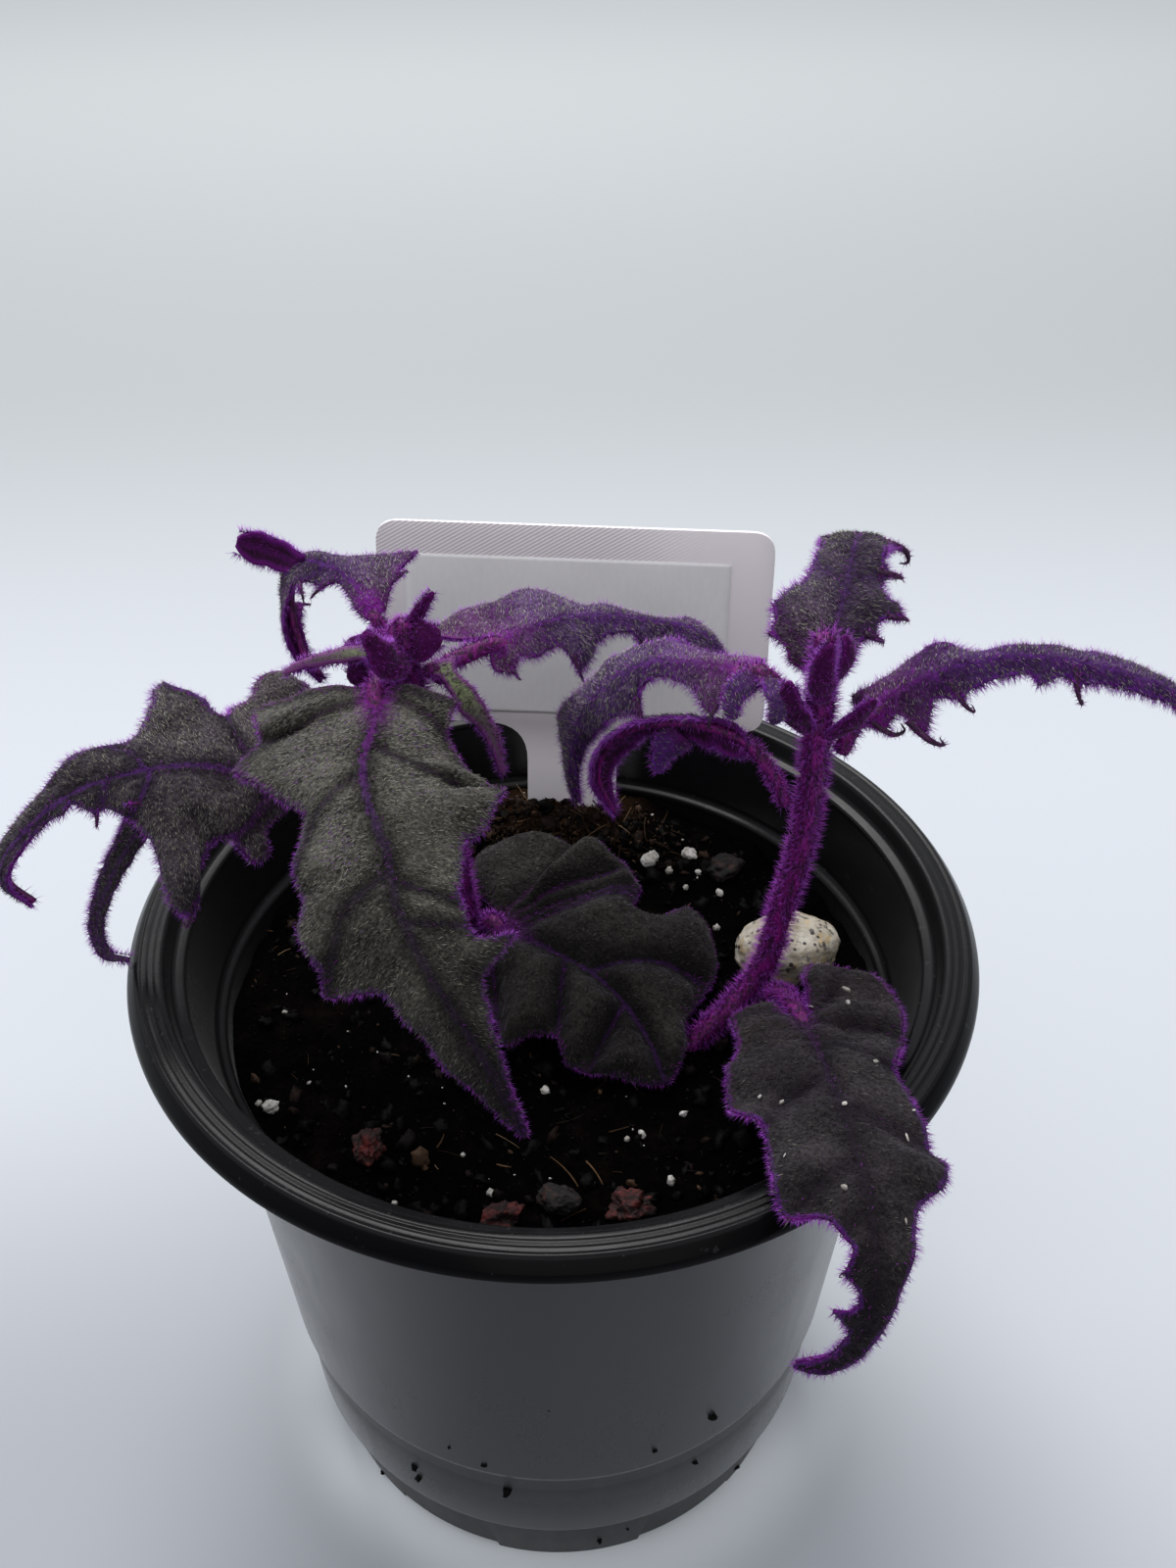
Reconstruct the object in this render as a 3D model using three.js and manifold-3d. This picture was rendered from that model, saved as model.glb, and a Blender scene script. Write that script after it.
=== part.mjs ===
// A potted purple passion plant: two young velvet-leaved stems in a round nursery pot,
// with a stake label, a pebble and bark chips on the soil.
// Millimetres, +Z up. The origin is the middle of the flat boss under the pot,
// on the surface that the pot stands on. The viewer stands on the -Y side.
import * as THREE from 'three';
import { mergeVertices } from 'three/addons/utils/BufferGeometryUtils.js';
import Module from 'manifold-3d';

const wasm = await Module();
wasm.setup();

// Driving dimensions of the pot
const POT_HEIGHT = 95;
const RIM_RADIUS = 54;
const WALL_SIDES = 40;
const FLOOR_UNDERSIDE = 3;
const FLOOR_TOP = 4.6;
const FOOT_COUNT = 6;
const NOTCH_SIZE = [8, 16.5, 2.6];
const NOTCH_MIDDLE_RADIUS = 34.5;
const DRAIN_HOLE_RADIUS = 3.5;
const DRAIN_CIRCLE_RADIUS = 22;

// Driving dimensions of what fills the pot
const SOIL_RADIUS = 42.5;
const SOIL_LEVEL = 79.6;
const MOUND_HEIGHT = 4.4;
const MOUND_CENTRE = [2, 38];
const MOUND_REACH = [13, 8];
const CRUMB_COUNT = 14;
const FIT_GAP = 0.3;

// Driving dimensions of the label
const LABEL_THICKNESS = 0.8;
const LABEL_LENGTH = 100;
const LABEL_HEAD = [56, 30.6];
const LABEL_TOP = 43.2;
const LABEL_CORNER = 3.2;
const LABEL_FILLET = 6;
const STAKE_WIDTH = 13.3;
const STAKE_POINT = 12;
const LABEL_FOOT = [3.6, 37, 84];
const LABEL_TURN = -6.7;
const LABEL_LEAN = 10;
const STICKER_SIZE = [46, 24];
const STICKER_MIDDLE = [-1, 26.5];
const STICKER_THICKNESS = 0.3;

// Driving dimensions of the plants
const BLADE_THICKNESS = 0.9;
const YOUNG_LEAF_THICKNESS = 0.8;
const VEIN_LEAN = 0.35;
const SEAM_GAP = 0.1;
const WELD_DISTANCE = 1e-3;
const UPPER_FACE = 4;
const ROW_STEP = 0.3;
const RUFFLE_LENGTH = 9;
const RUFFLE_REACH = 10;
const RIB_SINK = 0.15;
const RIB_PAST_TIP = 0.4;
const STEM_SIDES = 10;
const RIB_SIDES = 5;

const finish = {
  pot: { color: 0x1b1d1e, roughness: 0.42, metalness: 0 },
  soil: { color: 0x15100d, roughness: 0.97, metalness: 0 },
  label: { color: 0xd9cdcf, roughness: 0.5, metalness: 0 },
  sticker: { color: 0xd6d6d8, roughness: 0.6, metalness: 0 },
  pebble: { color: 0xc9c2b4, roughness: 0.75, metalness: 0 },
  perlite: { color: 0xe4e0dc, roughness: 0.9, metalness: 0 },
  bark: { color: 0x3a2219, roughness: 0.95, metalness: 0 },
  stem: { color: 0x5e0f58, roughness: 0.85, metalness: 0 },
  leaf: { color: 0x4a4a44, roughness: 0.9, metalness: 0 },
  young: { color: 0x41233f, roughness: 0.88, metalness: 0 },
};

// Routes of the two stems, from inside the soil to the tip, with the radius at each point
const STEM_A = {
  route: [[-11, 9.6, 72], [-11.3, 9, 82], [-13, 8, 100], [-15, 6.6, 116], [-16.7, 5.4, 131]],
  radii: [1.9, 1.9, 1.9, 1.9, 1.8],
};
const STEM_B = {
  route: [[11, -13, 73], [16.9, -10.2, 80], [22, -8.6, 84.5], [26.2, -7.2, 90.5], [28, -7, 101],
    [29.6, -7, 112], [29.9, -7, 124], [29.7, -7, 134], [29.5, -7, 140]],
  radii: [1.7, 1.8, 1.9, 2, 1.9, 1.9, 2, 2.3, 1.5],
};

// Each leaf has a petiole, a midrib and two margins. A margin is a list of arcs, each ending
// at a tooth, with points given as [along the midrib, across it, lift]. Facing lists which
// way the upper side looks, from base to tip. Fold is how far each half falls, in degrees.
const LEAVES = [
  {
    name: 'leaf_a1_front',
    petiole: [[-18, 3.2, 128.4], [-19, 1.7, 129.8], [-20, 0, 130.3]],
    midrib: [[-20, 0, 130.3], [-20, -5, 129], [-21, -10.5, 127.5], [-20.3, -16, 126],
      [-18, -22, 123], [-17, -26.5, 120], [-14, -31.5, 115.5], [-9, -35.5, 107.5], [-4.5, -38, 97]],
    facing: [[0, -0.25, 1], [0, -1, 0.45]],
    columns: 2, fold: [8, 8], droop: 0.012, ruffle: 0.7, rib: [1.2, 0.65],
    left: [
      [[0, -1.5], [-1, -4.5], [0, -7], [2, -9]],
      [[4.5, -8], [6, -9.2], [8, -12], [11, -13.5], [19.5, -14.6]],
      [[23, -10.6], [23.6, -8], [26.2, -7], [31.3, -6.4], [36, -6], [38.5, -9.8]],
      [[40, -6.2], [41.5, -4], [46.5, -2.2], [52.3, -1], [58.5, -0.4]],
    ],
    right: [
      [[0, 1.5], [-0.5, 4.5], [-1.3, 10.7], [-0.9, 14.4], [3, 13.4], [7.5, 13.4], [10.4, 15]],
      [[11.5, 12.2], [13.3, 9], [14.8, 7.2], [17.7, 8.5], [20.4, 10], [26.7, 9.8], [28.6, 11],
        [31.5, 10.2], [34, 11.4, 0.8]],
      [[35, 8.9], [36, 5.7], [38, 4.9], [42, 4.6], [48, 4], [53, 2.3], [58.5, 0.4]],
    ],
  },
  {
    name: 'leaf_a2_left',
    petiole: [[-17.6, 6.5, 117.5], [-23, 6, 116], [-29, 5, 115]],
    midrib: [[-29, 5, 115], [-33.5, 4, 115], [-38, 2, 117], [-42.5, 1, 119], [-49.5, -1, 119.5],
      [-54.5, -3, 119], [-58, -5, 118], [-61.5, -7, 115.5], [-63.6, -9, 113.3], [-64, -10, 110.5],
      [-61.3, -11, 108.4]],
    facing: [[0, -0.45, 0.9], [0, -0.5, 0.86], [-0.8, -0.5, -0.2]],
    columns: 2, fold: [6, 6], droop: 0.01, ruffle: 0.7, rib: [1.1, 0.65],
    left: [
      [[2.5, -3], [4.5, -4.5], [6.4, -6.5], [6.2, -9.3]],
      [[7.6, -10.4], [8.8, -9.6], [10, -8], [11.2, -8.9], [11.8, -11.5], [13.8, -14.2], [18, -17.2]],
      [[20.5, -16], [21, -13], [21.3, -9.2], [22.4, -7], [23.6, -5]],
      [[26.5, -3.1], [27.8, -3.4]],
      [[29.8, -1.1], [31.4, -1.5]],
      [[33.6, -1], [36.5, -1.2], [39.8, -1.6], [42.1, -1.4], [46.6, -0.4]],
    ],
    right: [
      [[-0.5, 6], [-0.4, 11], [-0.9, 14.9]],
      [[2.4, 16.6], [4.2, 16], [5.8, 12], [12, 7.8], [13.8, 9.6], [15, 11.4], [17, 13.3]],
      [[18.2, 11.6], [18.5, 9.5], [19.6, 6.8], [21.2, 4.8], [24, 4.7]],
      [[27, 4.4], [31, 3], [36, 2.6], [40, 2.2], [43.5, 1.2], [46.6, 0.4]],
    ],
    lobes: [
      {
        route: [[-47.6, -3.4, 117.6], [-48.6, -2.4, 114.8], [-50.4, -1.4, 111.2], [-52.2, -2, 108.5],
          [-54.4, -3.5, 105], [-56.5, -5, 99.5], [-55.8, -6, 95.6], [-52.8, -6.5, 95]],
        widths: [4.6, 4, 3.2, 2.8, 2.2, 1.8, 1.4, 0.7], facing: [0.5, -0.8, 0.3],
      },
    ],
  },
  {
    name: 'leaf_a3_back_left',
    petiole: [[-18.6, 8, 129.4], [-19.6, 8.6, 131.6], [-20, 7.8, 134]],
    midrib: [[-20, 7.8, 134], [-21.5, 10, 136], [-23.6, 13, 137], [-26.6, 15.1, 137.6],
      [-29.4, 15.9, 137.5], [-31.3, 15.4, 135.5], [-31.7, 14.2, 132], [-30.5, 13, 127], [-28.5, 12, 124.4]],
    facing: [[0.1, -0.6, 0.8], [-0.3, -0.1, 0.95], [-0.8, 0.6, 0]],
    columns: 1, fold: [4, 4], droop: 0.01, ruffle: 0.3, rib: [0.9, 0.65],
    left: [
      [[0.8, -1], [2.5, -1.5], [5.6, -1.3], [8, -1.2], [9.5, -3.1]],
      [[10.4, -2.6], [12.2, -2.8], [14.2, -4.8]],
      [[15.8, -2.4], [18.5, -2], [22, -1.8], [26.5, -1.1], [30.4, -0.4]],
    ],
    right: [
      [[1, 1.5], [2.2, 2.5], [3.4, 3.6], [4.2, 5.6]],
      [[4.9, 5.4], [5.6, 7.4], [6.2, 8.7]],
      [[7.2, 5.4], [9, 3], [11, 2], [14.5, 2.3], [16.4, 3.2]],
      [[18, 2.6], [20, 3], [21.2, 4.6]],
      [[22.6, 2.2], [26, 1.3], [30.4, 0.4]],
    ],
    lobes: [
      {
        route: [[-29.3, 15.6, 137.3], [-32, 17, 138], [-34.3, 17.5, 138.7], [-37, 18, 139.4]],
        widths: [2.6, 3.4, 3.8, 2.4], facing: [0.2, 0.75, 0.6],
      },
    ],
  },
  {
    name: 'leaf_a4_right',
    petiole: [[-13.5, 7.3, 126.4], [-12.2, 7.1, 128.4], [-10.2, 7.4, 129.3], [-7.3, 8.4, 130]],
    midrib: [[-7.3, 8.4, 130], [-4.5, 10.2, 130.3], [-0.6, 13, 130.3], [3, 15, 129.8], [8, 17, 128.5],
      [13, 18, 127.1], [17.1, 18, 126.3], [20.2, 18, 124.5], [22.8, 17, 121.8]],
    facing: [[0, -0.1, 1], [0.6, 0, 0.8]],
    columns: 2, fold: [8, 35], droop: 0.012, ruffle: 0.3, rib: [1.1, 0.65],
    left: [
      [[0.6, -1.5], [-2.4, -5], [-4, -8], [-3.5, -12]],
      [[0, -10.5], [4.4, -8.2], [8, -9], [11, -9.6]],
      [[12.6, -7.4], [13.8, -4.8], [15, -3.4], [19, -2.4]],
      [[22.6, -1.6], [26, -2], [28.4, -3.2]],
      [[30, -2.2], [31.8, -1.9], [35, -0.4]],
    ],
    right: [
      [[-0.5, 1.4], [-0.6, 2.4], [1.6, 3.4]],
      [[3, 2.1], [4.6, 2.8], [7.6, 2.6], [9.4, 3], [11.4, 5.6]],
      [[14, 4.2], [15, 2.8], [16.3, 2.1], [20.7, 1.6], [22.2, 3.7]],
      [[25.5, 3], [29, 3.3]],
      [[32, 1.5], [35, 0.4]],
    ],
  },
  {
    name: 'leaf_a6_young',
    petiole: [[-14.4, 3.5, 129.6], [-14.1, 3.4, 130.4], [-13.7, 3.3, 130.5]],
    midrib: [[-13.7, 3.3, 130.5], [-12.4, 3, 129.8], [-10, 2, 127.6], [-8, 1, 124.4],
      [-6.8, 0, 121.6], [-6, -1, 118.4]],
    facing: [[0, -0.4, 0.9], [0.3, -0.8, 0.5]],
    columns: 1, fold: [5, 5], droop: 0.01, ruffle: 0.1, rib: [0.75, 0.65],
    left: [
      [[0.2, -0.9], [0.7, -1.4], [1.5, -3.1]],
      [[2.2, -1.2], [4.3, -1.1], [7, -1.1], [9.2, -0.9], [10.9, -1.1]],
      [[13, -0.6], [15.4, -0.4]],
    ],
    right: [
      [[0.3, 0.9], [1.9, 0.8], [6, 1.7], [9, 1], [11, 0.7], [13.2, 0.5], [15.4, 0.4]],
    ],
  },
  {
    name: 'leaf_a7_low',
    petiole: [[-9, 7.3, 86.6], [-8.6, 6.3, 87.8], [-8, 5, 88.6]],
    midrib: [[-8, 5, 88.6], [-6, 3, 89], [-1, -0.5, 88.6], [4.6, -4.5, 87.8], [8.7, -8.5, 85.8],
      [11.5, -13, 83.4], [13, -17.5, 81.6]],
    facing: [[0.1, -0.4, 0.9], [0.1, -0.2, 1]],
    columns: 2, fold: [2, 2], droop: 0.006, ruffle: 0.7, rib: [1.1, 0.65],
    left: [
      [[0.6, -1.5], [-2, -4], [-5.3, -8.5], [-5, -12.5], [-2.5, -15.9], [0, -18.3]],
      [[2, -18.6], [5.3, -19.4], [10, -18], [13.3, -16]],
      [[14, -12.6], [16.4, -14.2], [17.4, -18.6]],
      [[20.3, -17.8], [23, -15.4], [24.6, -12]],
      [[26.4, -6.6], [29.6, -4.2], [33.5, -0.4]],
    ],
    right: [
      [[0.5, 2], [1, 4], [4.2, 7.8], [9.3, 12]],
      [[11.7, 14], [14.2, 10.6], [19, 9.6]],
      [[23, 10.2], [28.4, 9]],
      [[30.4, 6], [32, 3.2], [33.5, 0.4]],
    ],
  },
  {
    name: 'leaf_b1_back',
    petiole: [[30.8, -3.9, 129.4], [31, -3.7, 131.2], [30.9, -3.4, 132.5]],
    midrib: [[30.9, -3.4, 132.5], [32, 0, 135.5], [33.9, 5, 137.7], [35.5, 10, 139.2],
      [37.1, 15, 139.6], [38.7, 20, 137.5], [40, 24, 134]],
    facing: [[0, -0.6, 0.8], [0, -0.3, 0.95], [0, 0.3, 0.95]],
    columns: 1, fold: [6, 6], droop: 0.008, ruffle: 0.4, rib: [0.9, 0.65],
    left: [
      [[0.3, -2.6], [1.2, -4.2], [2.8, -5], [3.9, -7.1]],
      [[5.6, -6.6], [7.3, -7.4]],
      [[10.6, -6.1], [12, -4.8], [15.7, -4.2], [20, -3.9], [24.6, -4.4]],
      [[27, -2.6], [32.5, -0.4]],
    ],
    right: [
      [[0.4, 2], [2, 2.6], [3.4, 2.8], [6, 3.4], [7.3, 5.2]],
      [[8.6, 4.6], [10, 5.2], [11, 7.3]],
      [[12.4, 6.6], [13.2, 4.7], [15, 4], [16.9, 4.7]],
      [[18.6, 3.6], [23, 3.9], [26, 4.8]],
      [[28, 2.4], [32.5, 0.4]],
    ],
  },
  {
    name: 'leaf_b2_right',
    petiole: [[33, -6.3, 124], [33.8, -6.1, 126.2], [34.8, -6, 128]],
    midrib: [[34.8, -6, 128], [38.1, -6, 131.4], [41.8, -6, 133.8], [46.4, -6, 135.4],
      [52.2, -6, 136.1], [58.4, -6, 135.1], [64.5, -6, 133.4], [70.7, -6, 130.6], [75.8, -7, 126.7]],
    facing: [[0, -0.15, 1], [0.3, -0.2, 0.9]],
    columns: 1, fold: [6, 38], droop: 0.012, ruffle: 0.3, rib: [1, 0.65],
    left: [
      [[0, -1.5], [0.2, -4.4]],
      [[3.3, -3.2], [7.9, -4.3], [10.5, -4.8], [12.8, -4.6]],
      [[15.5, -2.2], [18, -2], [20.4, -2.2], [24.2, -3], [28, -2.8], [32.4, -3.8]],
      [[35.5, -3.2], [40.5, -1.6], [46, -0.4]],
    ],
    right: [
      [[0.4, 1], [1.6, 2.3]],
      [[3, 1.7], [4.4, 2], [5.2, 4.2]],
      [[6.4, 3.9], [7.8, 2.9], [9, 2], [11.9, 2.8]],
      [[14.6, 2], [18.2, 1.6], [20.6, 1.5], [21.9, 2.4]],
      [[24.8, 1.4], [26.6, 2]],
      [[29.1, 1.4], [34, 1.3], [38, 1.1], [42.6, 0.9], [46, 0.4]],
    ],
  },
  {
    name: 'leaf_b3_upper_left',
    petiole: [[25.9, -7, 130.8], [24.9, -7, 133.6], [22.5, -6, 135]],
    midrib: [[22.5, -6, 135], [19.4, -4, 134.3], [15.2, -2, 133.8], [11, 0, 132.4], [7.2, 2, 128.8],
      [4.4, 4, 124], [3.1, 6, 118.4], [2.5, 7, 112.4], [3, 8, 106.6]],
    facing: [[0, -0.15, 1], [-0.1, -0.3, 0.95], [-0.7, -0.7, 0.1]],
    columns: 1, fold: [30, 8], droop: 0.012, ruffle: 0.3, rib: [1, 0.65],
    left: [
      [[0.3, -1.3], [2.4, -1.7], [3.2, -2.6], [4.2, -4.6]],
      [[5.4, -4], [6.6, -2.6], [9, -1.8], [11.2, -1.4], [14, -1.9], [15.6, -2.8], [16.6, -4.4]],
      [[18.3, -3.6], [22.4, -2.8], [28.5, -1.9], [34.1, -1], [39, -0.6], [43, -0.4]],
    ],
    right: [
      [[0, 1.4], [0.5, 2.4]],
      [[4.4, 2.2], [8.6, 3.3], [15.6, 4.8]],
      [[20.8, 4.6], [25, 3.7], [29.7, 3.9], [32.3, 4.7]],
      [[34.3, 2.9], [37.8, 1.9], [40.5, 1.1], [43, 0.4]],
    ],
    lobes: [
      {
        route: [[23, -6.3, 134.6], [21.6, -7, 134.4], [20.2, -7.6, 133.4], [19.6, -8.4, 131.8],
          [20.2, -8.9, 130.8]],
        widths: [2, 2.6, 2.4, 1.8, 0.8], facing: [-0.4, -0.8, 0.5],
      },
      {
        route: [[23.4, -6.4, 134.6], [24, -8, 134.6], [24.6, -9.4, 133.8], [24.6, -10, 132.2],
          [24, -10, 130.8]],
        widths: [2, 2.8, 2.8, 2.2, 0.9], facing: [0.4, -0.8, 0.5],
      },
    ],
  },
  {
    name: 'leaf_b4_lower_left',
    petiole: [[26.8, -7.8, 117.8], [24.9, -8, 122.4], [22, -7, 126]],
    midrib: [[22, -7, 126], [19, -5, 127.4], [15.4, -3, 127], [11, -1, 125.4], [7.9, 1, 122.4],
      [5.9, 3, 117.9], [5.5, 4, 113], [7.6, 5, 107.2]],
    facing: [[0, 1, 0.15], [-0.1, 0.95, 0.3], [-0.7, 0.7, 0.1]],
    columns: 1, fold: [35, 0], droop: 0, ruffle: 0.3, rib: [1.1, 0.65],
    left: [
      [[0, -1.1], [2, -2.2]],
      [[5, -2.2], [9, -1.8], [13, -2.6]],
      [[16, -1.8], [20, -1.9], [26, -1.3], [34.6, -0.4]],
    ],
    right: [
      [[-0.6, 1.5], [0.8, 3], [4, 3.5], [6.5, 4.6]],
      [[8.6, 3.5], [12, 3.4], [14, 3]],
      [[17, 3], [19.5, 3.6], [22.5, 4.4]],
      [[25, 3.2], [28, 2.4], [32, 1.2], [34.6, 0.4]],
    ],
    lobes: [
      {
        route: [[15, -2.6, 124.4], [13.4, -3, 123], [12.4, -3.5, 121.4], [12.6, -4, 119.8]],
        widths: [4, 3.2, 2.2, 0.8], facing: [0.2, -0.9, 0.3],
      },
    ],
  },
  {
    name: 'leaf_b5_over_rim',
    petiole: [[27, -9.9, 89], [28, -13, 91.4], [28.8, -17.5, 93.1]],
    midrib: [[28.8, -17.5, 93.1], [29.7, -26.5, 95.7], [30.3, -35.5, 97.4], [30.7, -46.3, 98.6],
      [30.7, -53.5, 97.7], [30.1, -58, 94.6], [28.9, -59.5, 89.5], [26.3, -59.5, 85],
      [23.4, -58.5, 83.1]],
    facing: [[-0.05, 0.15, 1], [0, -0.3, 0.95], [0.2, -0.8, 0.6]],
    columns: 2, fold: [2, 2], droop: 0.004, ruffle: 0.5, rib: [1.2, 0.65],
    left: [
      [[0.4, -1.5], [-4.8, -2.6], [-8.8, -3.4], [-11.6, -5.5], [-10.6, -9.3]],
      [[-5.8, -11.4], [-0.8, -13], [6.5, -10.9], [13.5, -7.7]],
      [[19.7, -8.1], [23.2, -8.6], [25.8, -8.2], [28.3, -9.4]],
      [[30.8, -8.5], [32.8, -5.8], [35.2, -4.4], [38.4, -3.8], [42.1, -2.8], [46.9, -1.8],
        [51.8, -1.4], [56.6, -0.4]],
    ],
    right: [
      [[0.4, 1.5], [-3, 2.6], [-3.6, 4.6], [-2.4, 7.6]],
      [[0.5, 7.8], [4.3, 8.4], [11.8, 11.2], [18, 11.4], [20.8, 8.9], [28.2, 9], [31.5, 9.2],
        [34.4, 8.3]],
      [[34.8, 4.8], [36.6, 3.3]],
      [[38.4, 2.3], [40.6, 3.1]],
      [[42.4, 1.5], [44.4, 1.4], [45.6, 3.4]],
      [[47.4, 1.1], [50.1, 0.9], [53.7, 0.6], [56.6, 0.4]],
    ],
  },
];

// The growing tip of the left stem: a fat bud and the small leaves that unfold from it
const APEX_A = {
  bud: { route: [[-16.9, 5, 131.9], [-16.8, 4.7, 133.8], [-16.7, 4.4, 136.2]], radii: [1.6, 2.1, 0.7] },
  leaves: [
    {
      route: [[-17, 4, 133.2], [-17.9, 0.4, 133.4], [-18.8, -1.2, 134.8], [-19.6, -1.5, 136.4],
        [-20.8, -1, 138.2]],
      widths: [2.4, 4, 4.2, 2.8, 0.8], facing: [0.5, -0.8, 0.5],
    },
    {
      route: [[-16.8, 4.5, 134], [-15.8, 4.6, 135.6], [-14.6, 5, 137.6], [-13.2, 5.4, 139.4]],
      widths: [1.4, 1.5, 1.2, 0.6], facing: [0.2, -1, 0.3],
    },
    {
      route: [[-16.8, 4.6, 133.4], [-14.7, 3.1, 134.4], [-12.4, 2.7, 135.2]],
      widths: [2.6, 4.6, 2.2], facing: [0.1, -0.8, 0.6],
    },
    {
      route: [[-17, 4.6, 132.6], [-21.6, 4.8, 132], [-24, 5.2, 131.7]],
      widths: [2.4, 4.6, 2.2], facing: [-0.1, -0.7, 0.7],
    },
    {
      route: [[-17.4, 4.6, 133], [-19.9, 4, 132], [-21.5, 3.5, 130.4], [-23.4, 3.5, 129]],
      widths: [1.8, 3, 3.8, 1.8], facing: [-0.1, -0.8, 0.6],
    },
    {
      route: [[-17.4, 4.4, 133], [-20.7, 3.4, 132.8], [-24, 3.6, 132.2], [-28.5, 4, 130.9],
        [-31, 4, 129.7]],
      widths: [1.6, 1.8, 1.7, 1.2, 0.6], facing: [0, -0.6, 0.8],
    },
  ],
};

// Loose pieces that lie on the soil: centre, half sizes and turn in degrees about the vertical
const PEBBLE = { centre: [31.6, 3.6, 83.4], half: [7.2, 5.6, 4.6], turn: 12, rough: 0.07, detail: 2 };
const BARK_CHIPS = [
  { centre: [25.4, 23.8, 80.8], half: [2.6, 2, 1.6], turn: 30 },
  { centre: [-0.8, -34.2, 80.6], half: [2.5, 1.8, 1.5], turn: -20 },
  { centre: [-7.4, -36.4, 80.4], half: [2, 1.6, 1.3], turn: 55 },
  { centre: [7.6, -35.6, 80.4], half: [2, 1.7, 1.3], turn: 5 },
  { centre: [-23.4, -25.2, 80.5], half: [2.2, 1.6, 1.4], turn: 80 },
];
const PERLITE = [
  { centre: [-36, -18.4, 80.2], half: [2, 1.6, 1.3], turn: 15 },
  { centre: [14.8, 26.6, 80.6], half: [1.6, 1.2, 1], turn: 60 },
  { centre: [20.8, 27.6, 80.4], half: [1.4, 1.1, 1], turn: 130 },
];
const CHIP_ROUGHNESS = 0.2;

// Seeded random draws, so that every build places the same crumbs
function randomSource(seed) {
  let state = seed;
  return () => {
    state = (state * 1664525 + 1013904223) % 4294967296;
    return state / 4294967296;
  };
}

const radians = THREE.MathUtils.degToRad;
const toVector = (point) => new THREE.Vector3(...point);
const curveThrough = (points) => new THREE.CatmullRomCurve3(points.map(toVector), false, 'catmullrom', 0.5);

// Signed volume of a closed indexed geometry
function volumeOf(geometry) {
  const position = geometry.getAttribute('position');
  const index = geometry.getIndex();
  const corners = [new THREE.Vector3(), new THREE.Vector3(), new THREE.Vector3()];
  let sum = 0;
  for (let i = 0; i < index.count; i += 3) {
    corners.forEach((corner, k) => corner.fromBufferAttribute(position, index.getX(i + k)));
    sum += corners[0].dot(corners[1].clone().cross(corners[2])) / 6;
  }
  return sum;
}

// A closed geometry as a solid that can be joined and cut, with its faces pointing out
function solid(geometry) {
  const bare = geometry.clone();
  bare.deleteAttribute('normal');
  bare.deleteAttribute('uv');
  const merged = mergeVertices(bare, 1e-4);
  const triangles = Uint32Array.from(merged.getIndex().array);
  if (volumeOf(merged) < 0) {
    for (let i = 0; i < triangles.length; i += 3) {
      [triangles[i], triangles[i + 1]] = [triangles[i + 1], triangles[i]];
    }
  }
  const vertices = Float32Array.from(merged.getAttribute('position').array);
  return new wasm.Manifold(new wasm.Mesh({ numProp: 3, vertProperties: vertices, triVerts: triangles }));
}

const join = (solids) => solids.reduce((whole, piece) => whole.add(piece));

// The main body, without the specks that rounding leaves at a cut
const withoutSpecks = (body) => body.decompose().reduce((a, b) => (b.volume() > a.volume() ? b : a));

const cut = (body, tools) => tools.reduce((rest, tool) => rest.subtract(tool), body);

// A solid back as a geometry, with the corners that nearly meet at a cut made one
function geometryOf(body) {
  const mesh = body.getMesh();
  const loose = new THREE.BufferGeometry();
  loose.setAttribute('position', new THREE.BufferAttribute(Float32Array.from(mesh.vertProperties), 3));
  loose.setIndex(new THREE.BufferAttribute(Uint32Array.from(mesh.triVerts), 1));
  const geometry = mergeVertices(loose, WELD_DISTANCE);
  const corners = geometry.getIndex().array;
  const kept = [];
  for (let i = 0; i < corners.length; i += 3) {
    const [a, b, c] = corners.slice(i, i + 3);
    if (a !== b && b !== c && c !== a) {
      kept.push(a, b, c);
    }
  }
  geometry.setIndex(kept);
  geometry.computeVertexNormals();
  return geometry;
}

// Moves every vertex of a geometry by a rule
function bend(geometry, rule) {
  const position = geometry.getAttribute('position');
  const point = new THREE.Vector3();
  for (let i = 0; i < position.count; i += 1) {
    point.fromBufferAttribute(position, i);
    const moved = rule(point);
    position.setXYZ(i, moved.x, moved.y, moved.z);
  }
  return geometry;
}

// A thin slab, its upper face split into triangles along the same lines as its lower face,
// so that a waved blade keeps its thickness
function slab(rows, columns) {
  const box = new THREE.BoxGeometry(1, 1, 1, rows, columns, 1);
  const corners = box.getIndex().array;
  const upper = box.groups[UPPER_FACE];
  for (let i = upper.start; i < upper.start + upper.count; i += 6) {
    const [a, b, d, , c] = corners.slice(i, i + 5);
    corners.set([a, b, c, a, c, d], i);
  }
  return box;
}

// A round body along a route, with a radius at each point of the route
function roundBody(route, radii, sides, steps) {
  const curve = curveThrough(route);
  const frames = curve.computeFrenetFrames(steps, false);
  const radiusAt = (t) => {
    const place = t * (radii.length - 1);
    const before = Math.min(Math.floor(place), radii.length - 2);
    return THREE.MathUtils.lerp(radii[before], radii[before + 1], place - before);
  };
  return bend(new THREE.CylinderGeometry(1, 1, 1, sides, steps), (point) => {
    const t = point.y + 0.5;
    const ring = Math.round(t * steps);
    const radius = radiusAt(t);
    return curve.getPointAt(t)
      .addScaledVector(frames.normals[ring], point.x * radius)
      .addScaledVector(frames.binormals[ring], point.z * radius);
  });
}

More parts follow.
